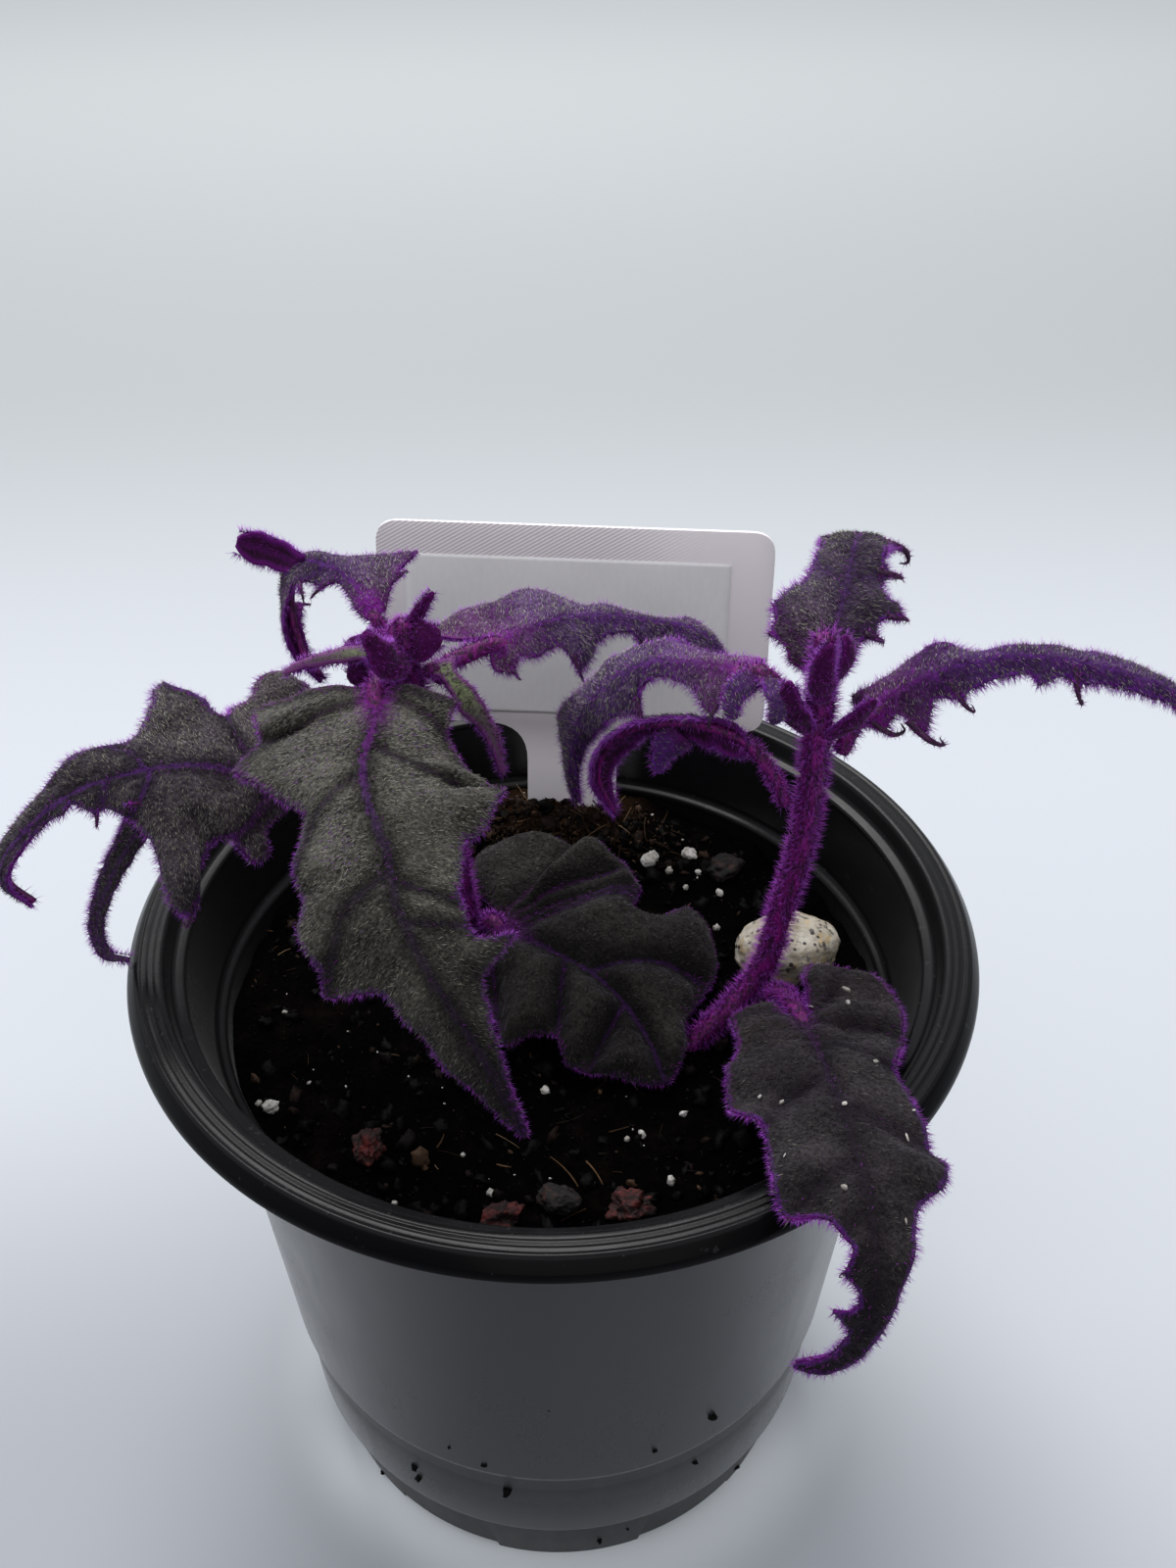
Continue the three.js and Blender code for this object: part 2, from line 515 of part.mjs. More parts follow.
// A narrow leaf or lobe along a route, with a width at each point of the route
function strap({ route, widths, facing }, thickness) {
  const steps = (route.length - 1) * 2;
  const curve = curveThrough(route);
  const upper = toVector(facing);
  return bend(slab(steps, 2), (point) => {
    const t = point.x + 0.5;
    const place = t * (widths.length - 1);
    const before = Math.min(Math.floor(place), widths.length - 2);
    const width = THREE.MathUtils.lerp(widths[before], widths[before + 1], place - before);
    const across = curve.getTangentAt(t).cross(upper).normalize();
    const outward = across.clone().cross(curve.getTangentAt(t));
    const crown = 0.12 * width * (1 - 4 * point.y * point.y);
    return curve.getPointAt(t)
      .addScaledVector(across, point.y * width)
      .addScaledVector(outward, point.z * thickness + crown);
  });
}

// The surface of a leaf: it carries a point given along and across the midrib into space
class LeafSurface {
  constructor(leaf) {
    this.leaf = leaf;
    this.curve = curveThrough(leaf.midrib);
    this.length = this.curve.getLength();
    this.facing = leaf.facing.map(toVector);
  }

  facingAt(fraction) {
    const place = fraction * (this.facing.length - 1);
    const before = Math.min(Math.floor(place), this.facing.length - 2);
    return this.facing[before].clone().lerp(this.facing[before + 1], place - before);
  }

  frame(along) {
    const inside = THREE.MathUtils.clamp(along, 0, this.length);
    const fraction = inside / this.length;
    const tangent = this.curve.getTangentAt(fraction);
    const point = this.curve.getPointAt(fraction).addScaledVector(tangent, along - inside);
    const across = tangent.clone().cross(this.facingAt(fraction)).normalize();
    return { point, tangent, across, upper: across.clone().cross(tangent) };
  }

  place(along, across, lift, height) {
    const { fold, droop, ruffle } = this.leaf;
    const frame = this.frame(along);
    const slope = Math.tan(radians(across < 0 ? fold[0] : fold[1])) * Math.sign(across);
    const reach = Math.min(1, Math.abs(across) / RUFFLE_REACH);
    const wave = ruffle * reach * Math.sin((2 * Math.PI * along) / RUFFLE_LENGTH);
    const fall = slope * across + droop * across * across - lift - wave;
    const normal = frame.upper.clone()
      .addScaledVector(frame.across, slope + 2 * droop * across)
      .normalize();
    return frame.point
      .addScaledVector(frame.across, across)
      .addScaledVector(frame.upper, -fall)
      .addScaledVector(normal, height);
  }
}

// Where each point of a margin meets the midrib. Side veins lean towards the tip, except
// where the margin runs outwards so steeply that the row would cut across it.
function veinFeet(margin, length) {
  const feet = [0];
  for (let row = 1; row < margin.length; row += 1) {
    const [along, across] = margin[row];
    const [alongBefore, acrossBefore] = margin[row - 1];
    const share = Math.abs(acrossBefore / across);
    const clear = share < 1 ? (alongBefore - along * share) / (1 - share) + ROW_STEP : 0;
    const natural = along - VEIN_LEAN * Math.abs(across);
    const latest = length - ROW_STEP * (margin.length - 1 - row);
    feet.push(Math.min(Math.max(natural, clear, feet[row - 1] + ROW_STEP), latest));
  }
  return feet;
}

// One half of a blade, from inside the midrib to the margin
function halfBlade(surface, arcs, side) {
  const margin = arcs.flat();
  const feet = veinFeet(margin, surface.length);
  const rows = margin.length - 1;
  return bend(slab(rows, surface.leaf.columns), (point) => {
    const row = Math.round((point.x + 0.5) * rows);
    const share = point.y + 0.5;
    const [along, across, lift = 0] = margin[row];
    return surface.place(
      THREE.MathUtils.lerp(feet[row], along, share),
      THREE.MathUtils.lerp(side * SEAM_GAP, across, share),
      lift * share * share,
      point.z * BLADE_THICKNESS,
    );
  });
}

// The petiole and the midrib under the blade, as one tapering body
function ribBody(surface) {
  const { petiole, rib } = surface.leaf;
  const samples = 9;
  const under = [];
  for (let i = 1; i <= samples; i += 1) {
    const frame = surface.frame(((surface.length + RIB_PAST_TIP) * i) / samples);
    under.push(frame.point.addScaledVector(frame.upper, -RIB_SINK).toArray());
  }
  const route = [...petiole, ...under];
  const radii = route.map((_, i) => THREE.MathUtils.lerp(rib[0], rib[1], i / (route.length - 1)));
  return roundBody(route, radii, RIB_SIDES, route.length - 1);
}

function leafBody(leaf) {
  const surface = new LeafSurface(leaf);
  const parts = [
    solid(ribBody(surface)),
    solid(halfBlade(surface, leaf.left, -1)),
    solid(halfBlade(surface, leaf.right, 1)),
    ...(leaf.lobes ?? []).map((lobe) => solid(strap(lobe, YOUNG_LEAF_THICKNESS))),
  ];
  return withoutSpecks(join(parts));
}

function apexBody() {
  const bud = roundBody(APEX_A.bud.route, APEX_A.bud.radii, STEM_SIDES, 5);
  return join([solid(bud), ...APEX_A.leaves.map((leaf) => solid(strap(leaf, YOUNG_LEAF_THICKNESS)))]);
}

// The pot: a turned shell with a stepped rim, cut by drain holes and by notches between the feet
function potBody() {
  const skirtFoot = POT_HEIGHT - 2.6;
  const profile = [
    [0, 0], [8, 0], [8.6, FLOOR_UNDERSIDE], [31, FLOOR_UNDERSIDE], [31.6, 0], [35.6, 0],
    [38.3, 12.2], [38.8, 12.8], [40, 28.9], [40.5, 29.5], [44.7, 81], [45.4, 82],
    [48, 91.6], [53.2, 91.9], [RIM_RADIUS, skirtFoot], [RIM_RADIUS - 0.3, skirtFoot + 1],
    [RIM_RADIUS - 1.6, POT_HEIGHT], [49.6, POT_HEIGHT - 0.1], [49.1, POT_HEIGHT - 0.6],
    [48.4, 92.8], [46.9, 92.4], [44.5, 82.9], [43.1, 82.2], [42.9, 81.6],
    [39.3, 29.6], [37.2, 12.6], [34.6, FLOOR_TOP], [0, FLOOR_TOP],
  ];
  const shell = new THREE.LatheGeometry(profile.map(([r, z]) => new THREE.Vector2(r, z)), WALL_SIDES);
  shell.rotateX(Math.PI / 2);
  const tools = [];
  for (let i = 0; i < FOOT_COUNT; i += 1) {
    const angle = (Math.PI * 2 * i) / FOOT_COUNT;
    const notch = new THREE.BoxGeometry(...NOTCH_SIZE);
    notch.translate(NOTCH_MIDDLE_RADIUS, 0, NOTCH_SIZE[2] / 2 - 0.5);
    notch.rotateZ(angle);
    tools.push(solid(notch));
    const drain = new THREE.CylinderGeometry(DRAIN_HOLE_RADIUS, DRAIN_HOLE_RADIUS, FLOOR_TOP, 12);
    drain.rotateX(Math.PI / 2);
    drain.translate(DRAIN_CIRCLE_RADIUS, 0, FLOOR_TOP / 2 + 1);
    drain.rotateZ(angle + Math.PI / FOOT_COUNT);
    tools.push(solid(drain));
  }
  return cut(solid(shell), tools);
}

// Height of the soil: nearly level, uneven, and heaped round the label
function soilHeight(x, y) {
  const mound = MOUND_HEIGHT * Math.exp(
    -(((x - MOUND_CENTRE[0]) / MOUND_REACH[0]) ** 2) - ((y - MOUND_CENTRE[1]) / MOUND_REACH[1]) ** 2,
  );
  const uneven = 0.5 * Math.sin(x * 0.31 + 1) * Math.cos(y * 0.27) + 0.3 * Math.sin(x * 0.83 - y * 0.6);
  return SOIL_LEVEL + mound + uneven;
}

function soilTop() {
  const rings = 5;
  const wall = [[0, FLOOR_TOP + FIT_GAP], [34, FLOOR_TOP + FIT_GAP], [36.8, 12.8], [38.9, 29.8]];
  const top = [];
  for (let i = 0; i <= rings; i += 1) {
    top.push([SOIL_RADIUS * (1 - i / rings), SOIL_LEVEL]);
  }
  const profile = [...wall, ...top].map(([r, z]) => new THREE.Vector2(r, z));
  const body = new THREE.LatheGeometry(profile, WALL_SIDES);
  body.rotateX(Math.PI / 2);
  return bend(body, (point) => {
    const moved = point.clone();
    if (point.z > SOIL_LEVEL - 1) {
      moved.z = soilHeight(point.x, point.y);
    }
    return moved;
  });
}

// A rough lump: a faceted ball pulled to its half sizes, its corners moved in and out
function lump({ centre, half, turn, rough = CHIP_ROUGHNESS, detail = 1 }, growth = 0) {
  const random = randomSource(Math.round(Math.abs(centre[0] * 31 + centre[1] * 17)) + 7);
  const ball = new THREE.IcosahedronGeometry(1, detail);
  ball.deleteAttribute('normal');
  ball.deleteAttribute('uv');
  const merged = mergeVertices(ball, 1e-4);
  bend(merged, (point) => point.clone().multiplyScalar(1 + rough * (random() - 0.5)));
  merged.scale(half[0] + growth, half[1] + growth, half[2] + growth);
  merged.rotateZ(radians(turn));
  merged.translate(...centre);
  return merged;
}

function crumbs() {
  const random = randomSource(2718);
  const pieces = [];
  while (pieces.length < CRUMB_COUNT) {
    const angle = random() * Math.PI * 2;
    const radius = Math.sqrt(random()) * (SOIL_RADIUS - 3.5);
    const size = 1.1 + random() * 0.9;
    const centre = [radius * Math.cos(angle), radius * Math.sin(angle)];
    const crumb = new THREE.IcosahedronGeometry(size, 0);
    crumb.scale(1, 0.8, 0.7);
    crumb.rotateZ(random() * Math.PI);
    crumb.translate(centre[0], centre[1], soilHeight(...centre) - 0.1);
    pieces.push(solid(crumb));
  }
  return pieces;
}

// The frame that the label stands in: across, along its length, and towards the viewer
function labelFrame() {
  const turn = new THREE.Matrix4().makeRotationZ(radians(LABEL_TURN));
  const lean = new THREE.Matrix4().makeRotationX(radians(90 - LABEL_LEAN));
  return new THREE.Matrix4().makeTranslation(...LABEL_FOOT).multiply(turn).multiply(lean);
}

function labelShape(grow = 0) {
  const halfHead = LABEL_HEAD[0] / 2;
  const halfStake = STAKE_WIDTH / 2 + grow;
  const headFoot = LABEL_TOP - LABEL_HEAD[1];
  const tip = LABEL_TOP - LABEL_LENGTH - 2 * grow;
  const shape = new THREE.Shape();
  shape.moveTo(0, tip);
  shape.lineTo(halfStake, tip + STAKE_POINT);
  shape.lineTo(halfStake, headFoot - LABEL_FILLET);
  shape.quadraticCurveTo(halfStake, headFoot, halfStake + LABEL_FILLET, headFoot);
  shape.lineTo(halfHead - LABEL_CORNER, headFoot);
  shape.quadraticCurveTo(halfHead, headFoot, halfHead, headFoot + LABEL_CORNER);
  shape.lineTo(halfHead, LABEL_TOP - LABEL_CORNER);
  shape.quadraticCurveTo(halfHead, LABEL_TOP, halfHead - LABEL_CORNER, LABEL_TOP);
  shape.lineTo(-halfHead + LABEL_CORNER, LABEL_TOP);
  shape.quadraticCurveTo(-halfHead, LABEL_TOP, -halfHead, LABEL_TOP - LABEL_CORNER);
  shape.lineTo(-halfHead, headFoot + LABEL_CORNER);
  shape.quadraticCurveTo(-halfHead, headFoot, -halfHead + LABEL_CORNER, headFoot);
  shape.lineTo(-halfStake - LABEL_FILLET, headFoot);
  shape.quadraticCurveTo(-halfStake, headFoot, -halfStake, headFoot - LABEL_FILLET);
  shape.lineTo(-halfStake, tip + STAKE_POINT);
  shape.closePath();
  return shape;
}

function labelSlab(grow) {
  const depth = LABEL_THICKNESS + 2 * grow;
  const slab = new THREE.ExtrudeGeometry(labelShape(grow), { depth, bevelEnabled: false, curveSegments: 5 });
  slab.translate(0, 0, -depth / 2);
  return slab;
}

function stickerSlab() {
  const slab = new THREE.BoxGeometry(...STICKER_SIZE, STICKER_THICKNESS);
  const height = LABEL_THICKNESS / 2 + FIT_GAP + STICKER_THICKNESS / 2;
  slab.translate(...STICKER_MIDDLE, height);
  return slab;
}

function stemBody({ route, radii }) {
  return solid(roundBody(route, radii, STEM_SIDES, (route.length - 1) * 2));
}

// The hole that a stem stands in: a little wider than the stem, and a little deeper
function stemHole({ route, radii }) {
  const wider = radii.map((radius) => radius + FIT_GAP);
  const [foot, next] = route.map(toVector);
  const deeper = foot.clone().addScaledVector(next.sub(foot).normalize(), -2 * FIT_GAP);
  const socket = roundBody([deeper.toArray(), route[0]], [wider[0], wider[0]], STEM_SIDES, 1);
  return join([stemBody({ route, radii: wider }), solid(socket)]);
}

const looseLumps = [
  ['pebble', PEBBLE, finish.pebble],
  ...BARK_CHIPS.map((chip, i) => [`bark_chip_${i + 1}`, chip, finish.bark]),
  ...PERLITE.map((grain, i) => [`perlite_${i + 1}`, grain, finish.perlite]),
];

// The soil: its heaped top with crumbs, cut by everything that stands or lies in it
function soilBody() {
  const slot = solid(labelSlab(FIT_GAP).applyMatrix4(labelFrame()));
  const tools = [
    stemHole(STEM_A),
    stemHole(STEM_B),
    slot,
    ...looseLumps.map(([, piece]) => solid(lump(piece, FIT_GAP))),
  ];
  return withoutSpecks(cut(join([solid(soilTop()), ...crumbs()]), tools));
}

const plant = new THREE.Group();

function addMesh(name, geometry, look) {
  const mesh = new THREE.Mesh(geometry, new THREE.MeshStandardMaterial(look));
  mesh.name = name;
  plant.add(mesh);
  return mesh;
}

addMesh('pot', geometryOf(potBody()), finish.pot);
addMesh('soil', geometryOf(soilBody()), finish.soil);
addMesh('plant_label', labelSlab(0), finish.label).applyMatrix4(labelFrame());
addMesh('label_sticker', stickerSlab(), finish.sticker).applyMatrix4(labelFrame());
looseLumps.forEach(([name, piece, look]) => addMesh(name, lump(piece), look));
addMesh('stem_a', geometryOf(stemBody(STEM_A)), finish.stem);
addMesh('stem_b', geometryOf(stemBody(STEM_B)), finish.stem);
addMesh('apex_a', geometryOf(apexBody()), finish.young);
LEAVES.forEach((leaf) => addMesh(leaf.name, geometryOf(leafBody(leaf)), finish.leaf));

export default plant;
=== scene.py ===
"""A potted purple passion plant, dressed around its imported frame.

The tables below are in millimetres, in the frame's own axes: +Z up, the origin on the surface
under the middle of the pot, the viewer on the -Y side. Every mesh is turned to metres once.
"""
import logging
import math
from collections.abc import Sequence
from dataclasses import dataclass, field
from enum import Enum

import bmesh
import bpy
import numpy as np
from mathutils import Matrix, Vector, noise


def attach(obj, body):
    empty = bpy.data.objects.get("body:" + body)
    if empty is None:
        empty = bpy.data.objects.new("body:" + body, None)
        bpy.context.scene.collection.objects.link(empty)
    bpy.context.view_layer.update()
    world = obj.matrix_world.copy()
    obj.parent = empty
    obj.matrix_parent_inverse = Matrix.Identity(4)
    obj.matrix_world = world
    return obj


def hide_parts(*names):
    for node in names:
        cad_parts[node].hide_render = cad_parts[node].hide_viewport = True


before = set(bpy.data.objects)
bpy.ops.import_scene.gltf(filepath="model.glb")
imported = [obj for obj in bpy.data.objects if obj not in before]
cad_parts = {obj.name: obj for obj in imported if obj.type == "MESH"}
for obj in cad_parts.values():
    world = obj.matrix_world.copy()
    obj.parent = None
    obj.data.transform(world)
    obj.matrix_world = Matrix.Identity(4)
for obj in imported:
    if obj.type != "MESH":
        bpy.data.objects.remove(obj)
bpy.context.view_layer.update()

MM = 0.001
TINY = 1e-9
NEAR = 1e-4
log = logging.getLogger("plant")

Array = np.ndarray
Random = np.random.Generator
Shape = bmesh.types.BMesh
Material = bpy.types.Material
Socket = bpy.types.NodeSocket
Points = Sequence[Sequence[float]]
Triple = tuple[float, float, float]
Colour = Triple


class Slot(Enum):
    """The material slots of the record."""

    POT = "pot"
    SOIL = "soil"
    LABEL = "label"
    STICKER = "sticker"
    PEBBLE = "pebble"
    PERLITE = "perlite"
    BARK = "bark"
    STEM = "stem"
    YOUNG = "young_leaf"
    LEAF = "leaf"


class Side(Enum):
    """The two halves of a blade, by the sign of the distance across the midrib."""

    LEFT = -1
    RIGHT = 1


class Kind(Enum):
    """What the upper side of a leaf looks like."""

    FELT = "felt"
    GREEN = "green"
    BUD = "bud"


# Small geometry


def unit(vectors: Array) -> Array:
    """Vectors of length one along the given ones."""
    return vectors / np.maximum(np.linalg.norm(vectors, axis=-1, keepdims=True), TINY)


def ripple(*coordinates: Array | float) -> Array:
    """Smooth noise from -1 to 1 at places given by their three coordinates."""
    return np.array([noise.noise(Vector(spot)) for spot in zip(*np.broadcast_arrays(*coordinates))])


def lengths_along(line: Array) -> Array:
    """How far along a broken line each of its corners lies."""
    return np.concatenate([[0], np.cumsum(np.linalg.norm(np.diff(line, axis=0), axis=1))])


def along_line(marks: Array, steps: Array, line: Array) -> Array:
    """Places on a broken line, from how far along it they and its corners lie."""
    return np.stack([np.interp(marks, steps, column) for column in line.T], -1)


def bent(start: Array, corner: Array, end: Array, shares: Array | float) -> Array:
    """Places on the arc from one point to another that bends towards a corner."""
    return (1 - shares) ** 2 * start + 2 * shares * (1 - shares) * corner + shares**2 * end


def rounded(corners: Points, shares: Sequence[float]) -> Array:
    """A closed broken line with its corners turned into short arcs.

    Args:
        corners: each corner's place, and how far from it its arc starts at most.
        shares: where the places on each arc lie, from 0 at its start to 1 at its end.

    Returns:
        The places on the rounded line.
    """
    line = []
    points = [np.array(corner[:2], float) for corner in corners]
    for i, corner in enumerate(points):
        back, on = points[i - 1] - corner, points[(i + 1) % len(points)] - corner
        reach = min(corners[i][2], np.linalg.norm(back) / 2.2, np.linalg.norm(on) / 2.2)
        start, end = corner + unit(back) * reach, corner + unit(on) * reach
        line += [bent(start, corner, end, share) for share in shares] if reach else [corner]
    return np.array(line)


def spline(points: Array, samples: int) -> tuple[Array, Array]:
    """Runs a smooth curve through points.

    Args:
        points: the points, one a row.
        samples: how many places are worked out in each span.

    Returns:
        The places on the curve and the direction at each.
    """
    ends = np.vstack([2 * points[0] - points[1], points, 2 * points[-1] - points[-2]])
    places, slopes = [], []
    t = np.linspace(0, 1, samples, endpoint=False)[:, None]
    for i in range(len(points) - 1):
        before, here, there, after = ends[i:i + 4]
        leave, arrive = (there - before) / 2, (after - here) / 2
        square = 3 * (there - here) - 2 * leave - arrive
        cube = 2 * (here - there) + leave + arrive
        places.append(here + leave * t + square * t**2 + cube * t**3)
        slopes.append(leave + 2 * square * t + 3 * cube * t**2)
    places.append(points[-1:])
    slopes.append((ends[-1:] - ends[-3:-2]) / 2)
    return np.vstack(places), np.vstack(slopes)


class Route:
    """A smooth line through points in space, measured along its length."""

    SAMPLES = 60

    def __init__(self, points: Points) -> None:
        """Works the line out.

        Args:
            points: the points it passes through, in millimetres.
        """
        self.places, slopes = spline(np.array(points, float), self.SAMPLES)
        self.slopes = unit(slopes)
        self.reach = lengths_along(self.places)
        self.length = float(self.reach[-1])

    def at(self, distance: Array) -> tuple[Array, Array]:
        """Places and directions at distances from the start.

        Args:
            distance: how far along, in millimetres. Past an end the line runs straight on.

        Returns:
            The places and the unit directions.
        """
        inside = np.clip(distance, 0, self.length)
        place = along_line(inside, self.reach, self.places)
        slope = unit(along_line(inside, self.reach, self.slopes))
        return place + slope * (distance - inside)[..., None], slope


def distance_to(lines: list[Array], spots: Array) -> Array:
    """Distance from flat spots to the nearest of some broken lines.

    Args:
        lines: each line's corners, one a row.
        spots: the spots, one a row.

    Returns:
        One distance a spot.
    """
    batch = 4000
    nearest = np.full(len(spots), np.inf)
    for line in lines:
        start, way = line[:-1], np.diff(line, axis=0)
        squares = np.maximum((way**2).sum(1), TINY)
        for k in range(0, len(spots), batch):
            off = spots[k:k + batch, None, :] - start[None]
            share = np.clip((off * way).sum(-1) / squares, 0, 1)
            gap = np.linalg.norm(off - share[..., None] * way, axis=-1).min(1)
            nearest[k:k + batch] = np.minimum(nearest[k:k + batch], gap)
    return nearest


def cut_across(mesh: Shape, place: Sequence[float], normal: Sequence[float], near: float) -> None:
    """Cuts a mesh along a plane, using the vertices that lie near it as they are."""
    bmesh.ops.bisect_plane(mesh, geom=mesh.verts[:] + mesh.edges[:] + mesh.faces[:], dist=near,
                           plane_co=place, plane_no=normal)


def cut_sheet(outline: Array, step: float) -> Shape:
    """A flat sheet with a given outline, cut into small squares.

    Args:
        outline: the corners of the outline in order, one a row.
        step: the side of the squares.

    Returns:
        The sheet in the XY plane, its face looking along +Z.
    """
    sheet = bmesh.new()
    face = sheet.faces.new([sheet.verts.new((x, y, 0)) for x, y in outline])
    face.normal_update()
    if face.normal.z < 0:
        face.normal_flip()
    for column, normal in zip(outline.T, np.eye(3)):
        low, high = column.min() / step, column.max() / step
        for k in range(math.ceil(low), math.floor(high) + 1):
            cut_across(sheet, normal * (k * step), normal, step / 20)
    return sheet


def spots_of(mesh: Shape) -> Array:
    """The places of a mesh's vertices, one a row."""
    return np.array([v.co for v in mesh.verts], float).reshape(-1, 3)


def move_spots(mesh: Shape, spots: Array) -> None:
    """Sets the places of a mesh's vertices."""
    for vert, spot in zip(mesh.verts, spots):
        vert.co = spot


def paint(mesh: Shape, **fields: Array | float) -> None:
    """Writes values on a mesh's vertices, for hairs and materials to read.

    Args:
        mesh: the mesh.
        fields: a value a vertex, or one for all, under the name of its layer.
    """
    for name, values in fields.items():
        layer = mesh.verts.layers.float.get(name) or mesh.verts.layers.float.new(name)
        for vert, value in zip(mesh.verts, np.broadcast_to(values, len(mesh.verts))):
            vert[layer] = value


def joined(parts: list[Shape]) -> Shape:
    """Puts several meshes with the same layers into the first, and frees the rest.

    Args:
        parts: the meshes.

    Returns:
        The first mesh, which now holds all.
    """
    whole = parts[0]
    for part in parts[1:]:
        spare = bpy.data.meshes.new("spare")
        part.to_mesh(spare)
        part.free()
        whole.from_mesh(spare)
        bpy.data.meshes.remove(spare)
    return whole


def post(sides: int, tip: float = 1.0, rings: int = 1) -> Shape:
    """An upright closed body of height one, whose foot has a radius of one.

    Args:
        sides: how many sides it has.
        tip: the radius of its upper end.
        rings: how many even rings it is cut into.

    Returns:
        The body, standing on the XY plane.
    """
    body = bmesh.new()
    bmesh.ops.create_cone(body, cap_ends=True, segments=sides, radius1=1, radius2=tip, depth=1)
    bmesh.ops.translate(body, verts=body.verts, vec=(0, 0, 0.5))
    for k in range(1, rings):
        cut_across(body, (0, 0, k / rings), (0, 0, 1), 1e-5)
    return body


def tube(route: Route, radii: Sequence[float], sides: int, step: float,
         wobble: float = 0.0) -> Shape:
    """A round closed body along a route.

    Args:
        route: its middle line.
        radii: the radius at even shares of the length.
        sides: how many sides it has.
        step: the distance between its rings.
        wobble: how far its skin is uneven, as a share of the radius.

    Returns:
        The body.
    """
    rings = max(2, round(route.length / step))
    body = post(sides, 1, rings)
    flat = spots_of(body)
    level = np.round(flat[:, 2] * rings).astype(int)
    place, way = route.at(np.linspace(0, route.length, rings + 1))
    across = [unit(np.cross(way[0], (0.3, 1, 0.2)))]
    for here in way[1:]:
        across.append(unit(across[-1] - here * (across[-1] @ here)))
    one = np.array(across)
    two = np.cross(way, one)
    radius = np.interp(flat[:, 2], np.linspace(0, 1, len(radii)), radii)
    radius *= 1 + wobble * ripple(flat[:, 0] * 1.3, flat[:, 1] * 1.3, flat[:, 2] * rings * step * 0.5)
    spots = place[level] + (one[level] * flat[:, :1] + two[level] * flat[:, 1:2]) * radius[:, None]
    move_spots(body, spots)
    bmesh.ops.recalc_face_normals(body, faces=body.faces)
    if body.calc_volume(signed=True) < 0:
        bmesh.ops.reverse_faces(body, faces=body.faces)
    return body


def strap_sheet(strap: "Strap", step: float) -> Shape:
    """A narrow leaf or lobe as a sheet, crowned across.

    Args:
        strap: its route, widths and facing.
        step: the side of its squares.

    Returns:
        The sheet, with its layers painted.
    """
    route = Route(strap.route)
    rows = max(4, round(route.length / step))
    columns = max(4, 2 * round(max(strap.widths) / step / 2))
    sheet = bmesh.new()
    bmesh.ops.create_grid(sheet, x_segments=rows, y_segments=columns, size=0.5)
    flat = spots_of(sheet)
    share, side = flat[:, 0] + 0.5, flat[:, 1]
    widths = spline(np.array(strap.widths, float)[:, None], 20)[0][:, 0]
    width = np.interp(share, np.linspace(0, 1, len(widths)), np.maximum(widths, 0.3))
    width = width * np.sqrt(np.clip((1.02 - share) / 0.12, 0.02, 1))
    width = width * (1 + 0.08 * np.sin(share * route.length * 1.9 + strap.widths[0]))
    place, way = route.at(share * route.length)
    across = unit(np.cross(way, np.array(strap.facing, float)))
    outward = np.cross(across, way)
    crown = 0.12 * width * (1 - 4 * side**2)
    move_spots(sheet, place + across * (side * width)[:, None] + outward * crown[:, None])
    bmesh.ops.reverse_faces(sheet, faces=sheet.faces)
    paint(sheet, vein=np.abs(side) * width, rim=(0.5 - np.abs(side)) * width, along=share,
          middle=np.abs(side) * width, half=np.sign(side))
    return sheet


# Making pieces


def baked(name: str, shape: Shape) -> bpy.types.Mesh:
    """Turns a bmesh into a mesh of a given name, and frees it.

    Args:
        name: the new mesh's name.
        shape: the bmesh, which is freed.

    Returns:
        The mesh.
    """
    mesh = bpy.data.meshes.new(name)
    shape.to_mesh(mesh)
    shape.free()
    return mesh


def linked(name: str, data: bpy.types.ID) -> bpy.types.Object:
    """Puts a mesh, light or camera into the scene as an object of a given name.

    Args:
        name: the object's name.
        data: what it shows.

    Returns:
        The object.
    """
    item = bpy.data.objects.new(name, data)
    bpy.context.scene.collection.objects.link(item)
    return item


def add_piece(name: str, shape: Shape | bpy.types.Mesh,
              finishes: Sequence[Material], stands_for: Sequence[str] = (),
              sharp: float = 180.0) -> bpy.types.Object:
    """Turns a shape in millimetres into a piece of the plant.

    Args:
        name: its name.
        shape: its shape. A bmesh is freed, and a mesh is used as it is.
        finishes: its materials, in the order of its faces' numbers.
        stands_for: the nodes that it replaces.
        sharp: edges sharper than this angle, in degrees, stay crisp.

    Returns:
        The piece's object, at the origin.
    """
    mesh = baked(name, shape) if isinstance(shape, Shape) else shape
    mesh.transform(Matrix.Scale(MM, 4))
    mesh.update()
    mesh.polygons.foreach_set("use_smooth", np.ones(len(mesh.polygons), bool))
    if sharp < 180:
        mesh.set_sharp_from_angle(angle=math.radians(sharp))
    piece = linked(name, mesh)
    for finish in finishes:
        mesh.materials.append(finish)
    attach(piece, "root")
    if stands_for:
        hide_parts(*stands_for)
    log.info("%s: %d faces", name, len(mesh.polygons))
    return piece


def tumbled(random: Random, sizes: Array) -> Array:
    """Axes of lumps turned at random, each as long as the lump's half sizes.

    Args:
        random: the source of the draws.
        sizes: the half sizes, a row a lump.

    Returns:
        Three axes a lump.
    """
    one = unit(random.normal(size=(len(sizes), 3)))
    two = unit(np.cross(one, random.normal(size=(len(sizes), 3))))
    return np.stack([one, two, np.cross(one, two)], 1) * sizes[:, :, None]


